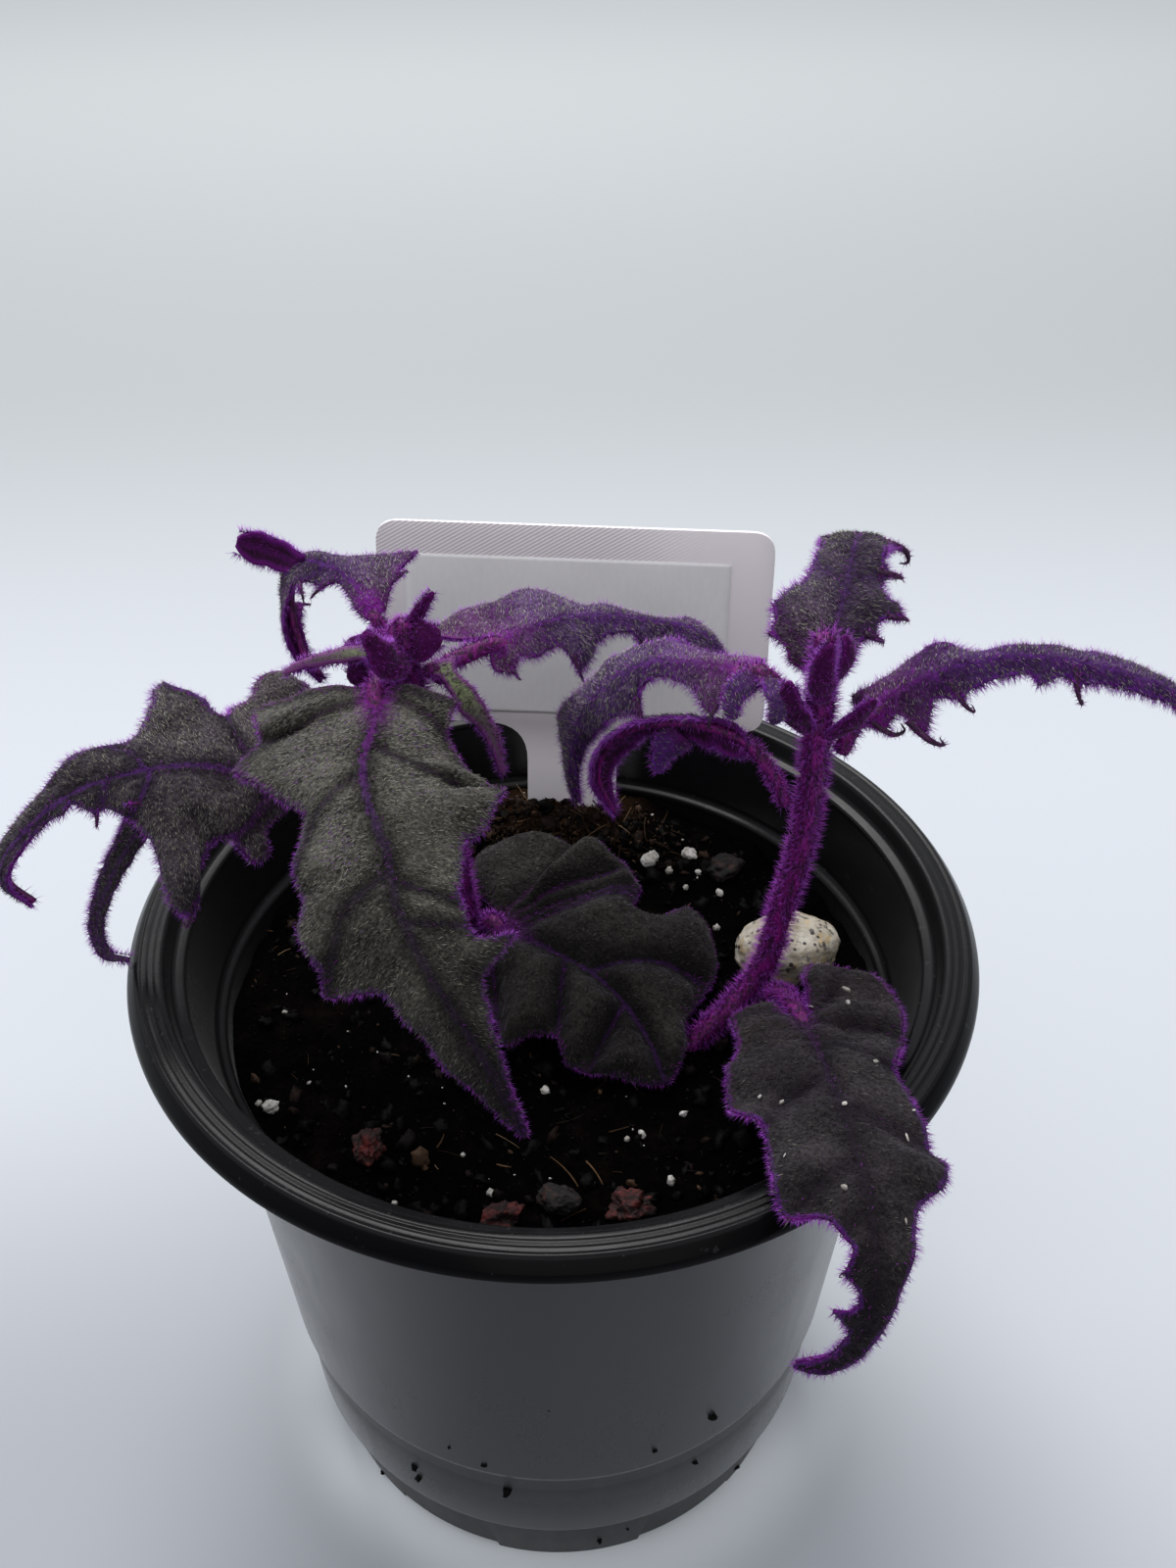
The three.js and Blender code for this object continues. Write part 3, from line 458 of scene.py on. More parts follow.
@dataclass
class Swarm:
    """Many copies of one small shape in a single mesh."""

    prototype: Shape
    copies: list[tuple[Array, Array, Array, Array]] = field(default_factory=list)

    def add(self, origins: Array, frames: Array, bends: Array | float = 0.0,
            tones: Array | float = 0.0) -> None:
        """Adds copies: where each stands, its three axes, how far its top leans over, and its shade."""
        self.copies.append((origins, frames, np.broadcast_to(bends, origins.shape),
                            np.broadcast_to(tones, len(origins))))

    def piece(self, name: str, slot: Slot, finish: Material) -> None:
        """Writes the copies into one mesh, with the layers "tone" and "height", as a piece of the plant.

        Args:
            name: its name.
            slot: the record's material slot; not used.
            finish: its material.
        """
        shape = spots_of(self.prototype)
        corners = [[v.index for v in f.verts] for f in self.prototype.faces]
        sizes = np.array([len(c) for c in corners])
        loops = np.concatenate([np.array(c) for c in corners])
        origins, frames, bends, tones = (np.concatenate(column) for column in zip(*self.copies))
        count = len(origins)
        spots = (origins[:, None] + np.einsum("vk,nkx->nvx", shape, frames)
                 + (shape[:, 2] ** 2)[None, :, None] * bends[:, None])
        mesh = bpy.data.meshes.new(name)
        mesh.vertices.add(count * len(shape))
        mesh.vertices.foreach_set("co", spots.astype(np.float32).ravel())
        mesh.loops.add(count * len(loops))
        shifts = (np.arange(count) * len(shape))[:, None]
        mesh.loops.foreach_set("vertex_index", (loops[None] + shifts).astype(np.int32).ravel())
        mesh.polygons.add(count * len(sizes))
        starts = np.concatenate([[0], np.cumsum(sizes)[:-1]])
        offsets = (np.arange(count) * len(loops))[:, None]
        mesh.polygons.foreach_set("loop_start", (starts[None] + offsets).astype(np.int32).ravel())
        layers = {"tone": np.repeat(tones, len(shape)), "height": np.tile(shape[:, 2], count)}
        for layer, values in layers.items():
            data = mesh.attributes.new(layer, "FLOAT", "POINT").data
            data.foreach_set("value", values.astype(np.float32))
        mesh.update(calc_edges=True)
        mesh.validate()
        self.prototype.free()
        add_piece(name, mesh, [finish])


@dataclass
class Skin:
    """A surface as arrays, ready for hairs to be grown on it."""

    points: Array
    normals: Array
    triangles: Array
    fields: dict[str, Array]

    @classmethod
    def of(cls, shape: Shape) -> "Skin":
        """Reads a surface and its painted layers from a mesh.

        Args:
            shape: the mesh.

        Returns:
            The surface.
        """
        shape.verts.index_update()
        shape.normal_update()
        triangles = np.array([[loop.vert.index for loop in t] for t in shape.calc_loop_triangles()])
        layers = shape.verts.layers.float.items()
        fields = {name: np.array([v[layer] for v in shape.verts]) for name, layer in layers}
        return cls(spots_of(shape), np.array([v.normal for v in shape.verts]), triangles, fields)

    def scatter(self, random: Random, density: float,
                weight: Array | float = 1.0) -> tuple[Array, Array, dict[str, Array]]:
        """Draws places evenly over the surface.

        Args:
            random: the source of the draws.
            density: how many to a square millimetre where the weight is one.
            weight: a weight a vertex, or one for all.

        Returns:
            The places, the normals there, and the fields there.
        """
        corners = self.points[self.triangles]
        first, second = corners[:, 1] - corners[:, 0], corners[:, 2] - corners[:, 0]
        areas = np.linalg.norm(np.cross(first, second), axis=1) / 2
        weights = areas * np.broadcast_to(weight, len(self.points))[self.triangles].mean(1)
        count = int(density * weights.sum())
        chosen = self.triangles[random.choice(len(areas), size=count, p=weights / weights.sum())]
        one, two = random.random((2, count))
        over = one + two > 1
        one[over], two[over] = 1 - one[over], 1 - two[over]
        shares = np.stack([1 - one - two, one, two], 1)

        def blend(values: Array) -> Array:
            """Values at the drawn places."""
            return np.einsum("nk,nk...->n...", shares, values[chosen])

        return blend(self.points), unit(blend(self.normals)), {k: blend(v) for k, v in self.fields.items()}


@dataclass(frozen=True)
class HairStyle:
    """How hairs of one kind look: lengths and radius in millimetres, the rest as shares."""

    length: tuple[float, float]
    radius: float
    scatter: float
    curl: float
    tone: tuple[float, float]


class HairCoat(Swarm):
    """Hairs: slim cones that grow on a surface, joined into one mesh."""

    def __init__(self, seed: int) -> None:
        """Starts an empty coat.

        Args:
            seed: sets the draws, so that every run grows the same hairs.
        """
        hair = post(3, 0)
        bmesh.ops.remove_doubles(hair, verts=hair.verts, dist=NEAR)
        hair.verts.index_update()
        super().__init__(hair)
        self.random = np.random.default_rng(seed)

    def grow(self, roots: Array, outward: Array, style: HairStyle, sweep: Array | None = None,
             share: Array | float = 1.0, tone: Array | None = None) -> None:
        """Adds hairs.

        Args:
            roots: where they stand.
            outward: which way they grow.
            style: how they look.
            sweep: which way they lean over towards the tip.
            share: how much of the full length each has.
            tone: the middle of each one's tone, instead of the style's.
        """
        count = len(roots)
        if not count:
            return
        draw = self.random
        direction = unit(outward + style.scatter * draw.normal(size=(count, 3)))
        length = draw.uniform(*style.length, count) * share
        one = unit(np.cross(direction, draw.normal(size=(count, 3))))
        two = np.cross(direction, one)
        radius = style.radius * draw.uniform(0.7, 1.25, (count, 1))
        frames = np.stack([one * radius, two * radius, direction * length[:, None]], 1)
        lean = one if sweep is None else unit(sweep + 0.4 * one)
        bends = lean * (style.curl * length * draw.uniform(0.3, 1.2, count))[:, None]
        tones = np.clip(draw.normal(style.tone[0] if tone is None else tone, style.tone[1], count), 0, 1)
        self.add(roots, frames, bends, tones)


# Finishes


class Recipe:
    """Puts the nodes of one material together."""

    def __init__(self, name: str) -> None:
        """Starts a material with a plain shader.

        Args:
            name: the material's name.
        """
        self.material = bpy.data.materials.new(name)
        self.material.use_nodes = True
        self.tree = self.material.node_tree
        self.tree.nodes.clear()
        self.shader = self.node("BsdfPrincipled")
        self.node("OutputMaterial", Surface=self.shader.outputs[0])
        self.place = self.node("TexCoord").outputs["Object"]

    def feed(self, socket: Socket, value: object) -> None:
        """Links a socket to another, or sets its value.

        Args:
            socket: the socket.
            value: another socket, a number or a colour.
        """
        if isinstance(value, Socket):
            self.tree.links.new(value, socket)
        elif socket.type == "RGBA":
            socket.default_value = (*value, 1.0)
        else:
            socket.default_value = value

    def node(self, kind: str, **sockets: object) -> bpy.types.Node:
        """Adds a node and feeds its sockets, with _ for a space in their names.

        Args:
            kind: its type, without the usual prefix.
            sockets: what each socket gets.

        Returns:
            The node.
        """
        node = self.tree.nodes.new("ShaderNode" + kind)
        for name, value in sockets.items():
            self.feed(node.inputs[name.replace("_", " ")], value)
        return node

    def dress(self, **sockets: object) -> Material:
        """Feeds the shader's sockets, with _ for a space in their names, and hands the material over.

        Args:
            sockets: what each socket gets.

        Returns:
            The material.
        """
        for name, value in sockets.items():
            self.feed(self.shader.inputs[name.replace("_", " ")], value)
        return self.material

    def axes(self) -> Sequence[Socket]:
        """The three coordinates of the place, each by itself."""
        return self.node("SeparateXYZ", Vector=self.place).outputs

    def mapped(self, scale: Triple, turn: Triple = (0, 0, 0)) -> Socket:
        """Coordinates stretched and turned."""
        return self.node("Mapping", Vector=self.place, Scale=scale, Rotation=turn).outputs[0]

    def noise(self, scale: float, detail: float = 4.0, rough: float = 0.55,
              source: Socket | None = None) -> Socket:
        """Cloudy noise from 0 to 1."""
        return self.node("TexNoise", Vector=source or self.place, Scale=scale, Detail=detail,
                         Roughness=rough).outputs[0]

    def cells(self, scale: float, feature: str = "F1") -> Socket:
        """A pattern of cells: the distance from their middles or edges.

        Args:
            scale: how many cells there are to a metre.
            feature: what is measured.

        Returns:
            The distance.
        """
        node = self.node("TexVoronoi", Vector=self.place, Scale=scale)
        node.feature = feature
        return node.outputs["Distance"]

    def layer(self, name: str) -> Socket:
        """A layer painted on the piece's vertices.

        Args:
            name: the layer's name.

        Returns:
            Its value.
        """
        node = self.node("Attribute")
        node.attribute_name = name
        return node.outputs["Fac"]

    def span(self, value: Socket, low: float, high: float, to_low: float = 0.0,
             to_high: float = 1.0) -> Socket:
        """Carries a value smoothly from one range to another.

        Args:
            value: the value.
            low: the start of its range.
            high: the end of its range.
            to_low: what the start turns into.
            to_high: what the end turns into.

        Returns:
            The new value.
        """
        node = self.node("MapRange", Value=value, From_Min=low, From_Max=high, To_Min=to_low, To_Max=to_high)
        node.interpolation_type = "SMOOTHSTEP"
        return node.outputs[0]

    def sum(self, operation: str, *values: object) -> Socket:
        """One step of arithmetic.

        Args:
            operation: the node's name for the step.
            values: what goes in.

        Returns:
            What comes out.
        """
        node = self.node("Math")
        node.operation = operation
        for socket, value in zip(node.inputs, values):
            self.feed(socket, value)
        return node.outputs[0]

    def times(self, one: object, other: object) -> Socket:
        """One value times another."""
        return self.sum("MULTIPLY", one, other)

    def plus(self, one: object, other: object) -> Socket:
        """One value plus another."""
        return self.sum("ADD", one, other)

    def most(self, one: object, *others: object) -> Socket:
        """The largest of some values.

        Args:
            one: the first value.
            others: the rest.

        Returns:
            The largest.
        """
        for other in others:
            one = self.sum("MAXIMUM", one, other)
        return one

    def mix(self, share: object, one: object, other: object) -> Socket:
        """Mixes two colours.

        Args:
            share: how much of the second there is.
            one: the first.
            other: the second.

        Returns:
            The mixed colour.
        """
        node = self.node("Mix")
        node.data_type = "RGBA"
        for number, value in ((0, share), (6, one), (7, other)):
            self.feed(node.inputs[number], value)
        return node.outputs[2]

    def ramp(self, value: Socket, *stops: tuple[float, Colour]) -> Socket:
        """Turns a value into a colour through stops.

        Args:
            value: the value.
            stops: a place from 0 to 1, and the colour there.

        Returns:
            The colour.
        """
        node = self.node("ValToRGB", Fac=value)
        ramp = node.color_ramp
        while len(ramp.elements) < len(stops):
            ramp.elements.new(0.5)
        for element, (place, colour) in zip(ramp.elements, stops):
            element.position = place
            element.color = (*colour, 1.0)
        return node.outputs[0]

    def bump(self, height: Socket, depth: float, strength: float = 1.0, over: Socket | None = None) -> Socket:
        """Small relief of a depth in millimetres, over another if one is given.

        Args:
            height: the relief, from 0 to 1.
            depth: its depth.
            strength: its share.
            over: the relief below it.

        Returns:
            The bent normal.
        """
        node = self.node("Bump", Strength=strength, Distance=depth * MM, Height=height)
        if over is not None:
            self.feed(node.inputs["Normal"], over)
        return node.outputs[0]


@dataclass(frozen=True)
class VelvetTop:
    """The upper side of a leaf: grey-green felt with violet veins and a violet edge, its brightness set by
    the painted "light" layer, which holds painted shade.
    """

    name: str
    dark: Colour = (0.006, 0.005, 0.005)
    light: Colour = (0.13, 0.126, 0.108)
    violet: Colour = (0.10, 0.012, 0.19)
    magenta: Colour = (0.15, 0.005, 0.16)
    vein_width: float = 0.6
    middle_width: float = 0.6
    edge_width: float = 0.55
    base_reach: float = 8.0

    def build(self) -> Material:
        """Puts the material together.

        Returns:
            The material.
        """
        r = Recipe(self.name)
        felt = r.noise(2600, 3, 0.7)
        cloud = r.noise(160, 4, 0.6)
        blend = r.plus(r.times(felt, 0.75), r.times(cloud, 0.45))
        # The "light" layer carries painted shade into the felt's brightness.
        bright = r.times(r.span(blend, 0.36, 0.86), r.layer("light"))
        ground = r.mix(bright, self.dark, self.light)
        ragged = r.times(r.sum("SUBTRACT", r.noise(900, 2), 0.5), 1.1)
        vein, edge, middle = (r.plus(r.layer(name), ragged) for name in ("vein", "rim", "middle"))
        vein = r.times(r.span(vein, 0.0, self.vein_width, 0.7, 0), r.layer("glow"))
        edge = r.times(r.span(edge, 0.1, self.edge_width, 0.8, 0), r.layer("brim"))
        fading = r.times(r.span(r.layer("along"), 0.02, 0.45, 0.95, 0.1), r.layer("core"))
        middle = r.times(r.span(middle, 0.25, self.middle_width, 1, 0), fading)
        base = r.times(r.span(r.layer("root"), 1.5, self.base_reach, 1, 0),
                       r.sum("MINIMUM", r.times(r.layer("core"), 1.6), 1.0))
        narrow = r.times(base, r.span(r.layer("middle"), 0.4, 3.2, 1, 0))
        clouded = r.times(r.span(cloud, 0.3, 0.7, 0.4, 1), r.layer("bloom"))
        mask = r.most(vein, middle, edge, narrow, clouded)
        tint = r.mix(r.span(r.layer("along"), 0.0, 0.35), self.magenta, self.violet)
        tint = r.mix(r.span(felt, 0.35, 0.75, 0, 0.45), tint, (0.18, 0.05, 0.33))
        colour = r.mix(mask, ground, tint)
        net = r.cells(420, "DISTANCE_TO_EDGE")
        relief = r.bump(r.span(net, 0.0, 0.22), 0.22, 0.55)
        relief = r.bump(felt, 0.16, 0.8, relief)
        return r.dress(Base_Color=colour, Roughness=0.82, Normal=relief, Sheen_Weight=0.15,
                       Sheen_Roughness=0.45, Sheen_Tint=(0.75, 0.68, 0.85), Specular_IOR_Level=0.12)


@dataclass(frozen=True)
class VelvetUnder:
    """The underside of a leaf: deep magenta, nearly black, with paler ribs."""

    name: str
    dark: Colour = (0.012, 0.0006, 0.010)
    light: Colour = (0.055, 0.002, 0.048)

    def build(self) -> Material:
        """Puts the material together.

        Returns:
            The material.
        """
        r = Recipe(self.name)
        felt = r.noise(2200, 3, 0.65)
        ground = r.mix(r.span(felt, 0.35, 0.75), self.dark, self.light)
        vein = r.span(r.layer("vein"), 0.1, 0.8, 0.4, 0)
        edge = r.span(r.layer("rim"), 0.1, 1.0, 0.9, 0)
        colour = r.mix(r.most(vein, edge), ground, (0.11, 0.005, 0.14))
        return r.dress(Base_Color=colour, Roughness=0.8, Normal=r.bump(felt, 0.15, 0.7), Sheen_Weight=0.15,
                       Sheen_Roughness=0.5, Sheen_Tint=(0.6, 0.3, 0.8), Specular_IOR_Level=0.25)


@dataclass(frozen=True)
class HairFinish:
    """Hairs, from pale felt through violet to magenta by their tone, with painted shade that darkens each
    towards its root.
    """

    name: str

    def build(self) -> Material:
        """Puts the material together.

        Returns:
            The material.
        """
        r = Recipe(self.name)
        colour = r.ramp(r.layer("tone"), (0.0, (0.015, 0.014, 0.012)), (0.15, (0.075, 0.075, 0.062)),
                        (0.3, (0.38, 0.38, 0.31)), (0.38, (0.52, 0.52, 0.43)), (0.46, (0.28, 0.15, 0.39)),
                        (0.65, (0.40, 0.08, 0.62)), (0.85, (0.38, 0.016, 0.40)), (1.0, (0.15, 0.002, 0.12)))
        # Painted shade: each hair darkens towards its root.
        deep = r.mix(r.span(r.layer("height"), 0.0, 0.75, 0.6, 0), colour, (0.02, 0.004, 0.02))
        violet = r.span(r.layer("tone"), 0.4, 0.6, 0, 0.35)
        paler = r.mix(r.times(violet, r.layer("height")), deep, (0.46, 0.18, 0.70))
        return r.dress(Base_Color=paler, Roughness=0.5, Specular_IOR_Level=0.3)


@dataclass(frozen=True)
class StemFinish:
    """The skin of a stem or rib under its hairs."""

    name: str
    dark: Colour = (0.035, 0.001, 0.03)
    light: Colour = (0.22, 0.003, 0.18)

    def build(self) -> Material:
        """Puts the material together.

        Returns:
            The material.
        """
        r = Recipe(self.name)
        grain = r.noise(1400, 4, 0.6, r.mapped((1, 1, 0.25)))
        colour = r.mix(r.span(grain, 0.35, 0.7), self.dark, self.light)
        return r.dress(Base_Color=colour, Roughness=0.6, Normal=r.bump(grain, 0.2, 0.6), Sheen_Weight=0.08,
                       Sheen_Tint=(0.6, 0.25, 0.85))


@dataclass(frozen=True)
class YoungFinish:
    """A green leaf or tip with a pink to violet outline."""

    name: str
    green: Colour = (0.17, 0.20, 0.10)
    shade: Colour = (0.07, 0.08, 0.04)
    dusk: Colour = (0.05, 0.022, 0.045)
    outline: Colour = (0.12, 0.012, 0.13)

    def build(self) -> Material:
        """Puts the material together.

        Returns:
            The material.
        """
        r = Recipe(self.name)
        felt = r.noise(2200, 3, 0.6)
        ground = r.mix(r.span(felt, 0.3, 0.75), self.shade, self.green)
        edge = r.span(r.layer("rim"), 0.1, 0.7, 1, 0)
        colour = r.mix(r.span(r.layer("along"), 0.25, 0.65, 0, 0.9), ground, self.dusk)
        colour = r.mix(edge, colour, self.outline)
        return r.dress(Base_Color=colour, Roughness=0.7, Normal=r.bump(felt, 0.12, 0.5), Sheen_Weight=0.25)


@dataclass(frozen=True)
class PotFinish:
    """Satin black plastic with fine scuffs and a little dust. A belt low on the wall and the foot
    are duller: each begins and ends over a pair of heights in metres."""

    name: str
    ground: Colour = (0.0052, 0.0054, 0.006)
    dust: Colour = (0.045, 0.045, 0.048)
    shine: float = 0.85
    bloom: float = 0.12
    rough: tuple[float, float] = (0.2, 0.3)
    belt_foot: tuple[float, float] = (0.019, 0.028)
    belt_top: tuple[float, float] = (0.0292, 0.0288)
    foot_top: tuple[float, float] = (0.0127, 0.0122)

    def build(self) -> Material:
        """Puts the material together.

        Returns:
            The material.
        """
        r = Recipe(self.name)
        grain = r.noise(3200, 2, 0.5)
        cloud = r.noise(38, 5, 0.6)
        streak = r.noise(300, 4, 0.65, r.mapped((1, 1, 0.12)))
        speck = r.noise(900, 2, 0.5)
        colour = r.mix(r.span(speck, 0.68, 0.74, 0, 0.35), self.ground, self.dust)
        level = r.axes()[2]
        belt = r.times(r.span(level, *self.belt_foot), r.span(level, *self.belt_top))
        low = r.most(belt, r.span(level, *self.foot_top))
        rough = r.span(r.plus(r.times(cloud, 0.6), r.times(streak, 0.4)), 0.3, 0.7, *self.rough)
        rough = r.plus(rough, r.times(low, 0.3))
        return r.dress(Base_Color=colour, Roughness=rough, Normal=r.bump(grain, 0.012, 0.5),
                       Specular_IOR_Level=self.shine, Sheen_Weight=self.bloom, Sheen_Roughness=0.35)


@dataclass(frozen=True)
class SoilFinish:
    """Moist peat: nearly black, brown where it is drier and fibrous."""

    name: str
    wet: Colour = (0.0010, 0.0009, 0.0009)
    dry: Colour = (0.010, 0.0065, 0.005)

    def build(self) -> Material:
        """Puts the material together.

        Returns:
            The material.
        """
        r = Recipe(self.name)
        clump = r.noise(260, 6, 0.65)
        grit = r.noise(1500, 4, 0.7)
        patch = r.noise(45, 4, 0.6)
        blend = r.plus(r.times(clump, 0.5), r.times(patch, 0.5))
        colour = r.mix(r.span(blend, 0.5, 0.72), self.wet, self.dry)
        colour = r.mix(r.span(r.layer("mound"), 0.15, 1.0, 0, 0.75), colour, (0.05, 0.027, 0.015))
        colour = r.mix(r.span(grit, 0.66, 0.74, 0, 0.4), colour, (0.03, 0.022, 0.018))
        relief = r.bump(grit, 0.4, 0.9, r.bump(clump, 1.2, 0.9))
        return r.dress(Base_Color=colour, Roughness=r.span(grit, 0.3, 0.6, 0.6, 0.95), Normal=relief,
                       Specular_IOR_Level=0.03)


@dataclass(frozen=True)
class CrumbFinish:
    """Loose crumbs, each of its own shade."""

    name: str
    # The palest stops, which few crumbs reach, are partly pale peat and partly painted glints standing in for
    # highlights on the wet soil.
    stops: tuple[tuple[float, Colour], ...] = (
        (0.0, (0.0008, 0.0007, 0.0007)), (0.7, (0.003, 0.0024, 0.0022)),
        (0.93, (0.025, 0.014, 0.010)), (1.0, (0.12, 0.075, 0.05)),
    )
    gloss: float = 0.5

    def build(self) -> Material:
        """Puts the material together.

        Returns:
            The material.
        """
        r = Recipe(self.name)
        grit = r.noise(1800, 4, 0.65)
        colour = r.ramp(r.layer("tone"), *self.stops)
        colour = r.mix(r.span(grit, 0.35, 0.7, 0.35, 0), colour, (0.004, 0.004, 0.004))
        return r.dress(Base_Color=colour, Roughness=self.gloss, Normal=r.bump(grit, 0.3, 0.8),
                       Specular_IOR_Level=0.12)


@dataclass(frozen=True)
class LumpFinish:
    """Bark and resin lumps: red-brown with dark cracks."""

    name: str
    dark: Colour = (0.012, 0.006, 0.005)
    light: Colour = (0.15, 0.035, 0.022)

    def build(self) -> Material:
        """Puts the material together.

        Returns:
            The material.
        """
        r = Recipe(self.name)
        grain = r.noise(520, 6, 0.65)
        crack = r.cells(330, "DISTANCE_TO_EDGE")
        colour = r.mix(r.span(grain, 0.42, 0.72), self.dark, self.light)
        colour = r.mix(r.span(crack, 0.0, 0.12, 0.8, 0), colour, (0.004, 0.003, 0.003))
        return r.dress(Base_Color=colour, Roughness=0.72, Normal=r.bump(grain, 0.6, 0.9))


@dataclass(frozen=True)
class GraniteFinish:
    """A pale speckled pebble."""

    name: str

    def build(self) -> Material:
        """Puts the material together.

        Returns:
            The material.
        """
        r = Recipe(self.name)
        cloud = r.noise(300, 5, 0.6)
        colour = r.mix(r.span(cloud, 0.35, 0.68), (0.30, 0.26, 0.20), (0.50, 0.47, 0.41))
        colour = r.mix(r.span(r.noise(420, 3, 0.6), 0.56, 0.66, 0, 0.75), colour, (0.46, 0.33, 0.16))
        fine = r.cells(900)
        speck = r.times(r.span(fine, 0.2, 0.34, 1, 0), r.span(r.noise(240, 3), 0.42, 0.52))
        colour = r.mix(speck, colour, (0.035, 0.03, 0.03))
        large = r.span(r.noise(700, 2, 0.5), 0.63, 0.68, 0, 0.85)
        colour = r.mix(large, colour, (0.09, 0.08, 0.075))
        relief = r.bump(r.noise(1100, 5, 0.7), 0.35, 0.8)
        return r.dress(Base_Color=colour, Roughness=0.72, Normal=relief)


@dataclass(frozen=True)
class PerliteFinish:
    """Chalky white grains with pores."""

    name: str

    def build(self) -> Material:
        """Puts the material together.

        Returns:
            The material.
        """
        r = Recipe(self.name)
        pores = r.cells(1900)
        colour = r.mix(r.span(r.noise(700, 4), 0.3, 0.75), (0.32, 0.30, 0.27), (0.60, 0.58, 0.56))
        colour = r.mix(r.span(pores, 0.0, 0.35, 0.35, 0), colour, (0.2, 0.17, 0.14))
        return r.dress(Base_Color=colour, Roughness=0.9, Normal=r.bump(pores, 0.25, 0.8))


@dataclass(frozen=True)
class LabelFinish:
    """White plastic card with a fine pressed diagonal line pattern, painted paler on the stake below the
    head: painted light against the shade that the leaves cast there.
    """

    name: str
    ground: Colour = (0.76, 0.71, 0.735)
    line: Colour = (0.55, 0.50, 0.525)
    foot: Colour = (0.97, 0.93, 0.95)
    stripe_scale: float = 690.0
    slant: float = -60.0
    shoulder: float = 0.099

    def build(self) -> Material:
        """Puts the material together.

        Returns:
            The material.
        """
        r = Recipe(self.name)
        turned = r.mapped((1, 1, 1), (0, math.radians(self.slant), 0))
        lines = r.node("TexWave", Vector=turned, Scale=self.stripe_scale, Distortion=0.25, Detail=1.0)
        across, _, level = r.axes()
        stripe = r.times(lines.outputs["Fac"], r.span(across, 0.008, 0.024, 1, 0.15))
        stripe = r.times(stripe, r.span(level, 0.116, 0.121))
        cloud = r.noise(60, 3)
        colour = r.mix(r.span(stripe, 0.2, 0.8, 0, 0.8), self.ground, self.line)
        colour = r.mix(r.span(cloud, 0.35, 0.7, 0, 0.25), colour, (0.72, 0.69, 0.71))
        # Painted light: the stake below the shoulder is paler than the head, against the leaves' shade on it.
        low = r.span(level, self.shoulder - 0.012, self.shoulder + 0.004, 0.8, 0)
        colour = r.mix(low, colour, self.foot)
        return r.dress(Base_Color=colour, Roughness=0.42, Normal=r.bump(stripe, 0.06, 0.6))


@dataclass(frozen=True)
class PaperFinish:
    """A matt grey-white paper sticker."""

    name: str

    def build(self) -> Material:
        """Puts the material together.

        Returns:
            The material.
        """
        r = Recipe(self.name)
        fibre = r.noise(1500, 4, 0.6, r.mapped((1, 1, 0.4)))
        cloud = r.noise(50, 3)
        colour = r.mix(r.span(fibre, 0.3, 0.7), (0.77, 0.755, 0.755), (0.80, 0.785, 0.785))
        colour = r.mix(r.span(cloud, 0.3, 0.7, 0, 0.3), colour, (0.76, 0.74, 0.76))
        return r.dress(Base_Color=colour, Roughness=0.55, Normal=r.bump(fibre, 0.02, 0.5))


@dataclass(frozen=True)
class FloorFinish:
    """A pale floor with painted light and shade: darker nearest the viewer and in a band further back, with a
    painted pool of light just in front of the pot's foot and painted shade to the left of the pot, towards
    the front.
    """

    name: str
    # One even floor with painted light and shade on it: front, middle and side are darker tones, foot a
    # lighter one.
    front: Colour = (0.42, 0.435, 0.465)
    near: Colour = (0.47, 0.49, 0.52)
    middle: Colour = (0.35, 0.365, 0.375)
    far: Colour = (0.46, 0.475, 0.48)
    foot: Colour = (0.80, 0.83, 0.86)
    side: Colour = (0.31, 0.32, 0.345)

    def build(self) -> Material:
        """Puts the material together.

        Returns:
            The material.
        """
        r = Recipe(self.name)
        x, y, _ = r.axes()
        # Painted shade: darker nearest the viewer and in a band further back.
        colour = r.mix(r.span(y, -0.05, 0.01), self.front, self.near)
        colour = r.mix(r.span(y, 0.14, 0.40), colour, self.middle)
        colour = r.mix(r.span(y, 0.40, 0.90), colour, self.far)
        squares = [r.sum("POWER", socket, 2.0) for socket in (x, y)]
        reach = r.sum("POWER", r.plus(*squares), 0.5)
        # Painted light: a pale pool just in front of the pot's foot. Painted shade: a darker patch to the
        # left of the pot.
        left = r.times(r.span(x, 0.02, -0.05), r.span(y, 0.07, -0.02))
        ahead = r.span(y, -0.008, -0.026)
        colour = r.mix(r.times(ahead, r.span(reach, 0.05, 0.036, 0, 0.75)), colour, self.foot)
        colour = r.mix(r.times(left, r.span(reach, 0.036, 0.048, 0, 0.8)), colour, self.side)
        return r.dress(Base_Color=colour, Roughness=0.9, Specular_IOR_Level=0.1)


# The studio


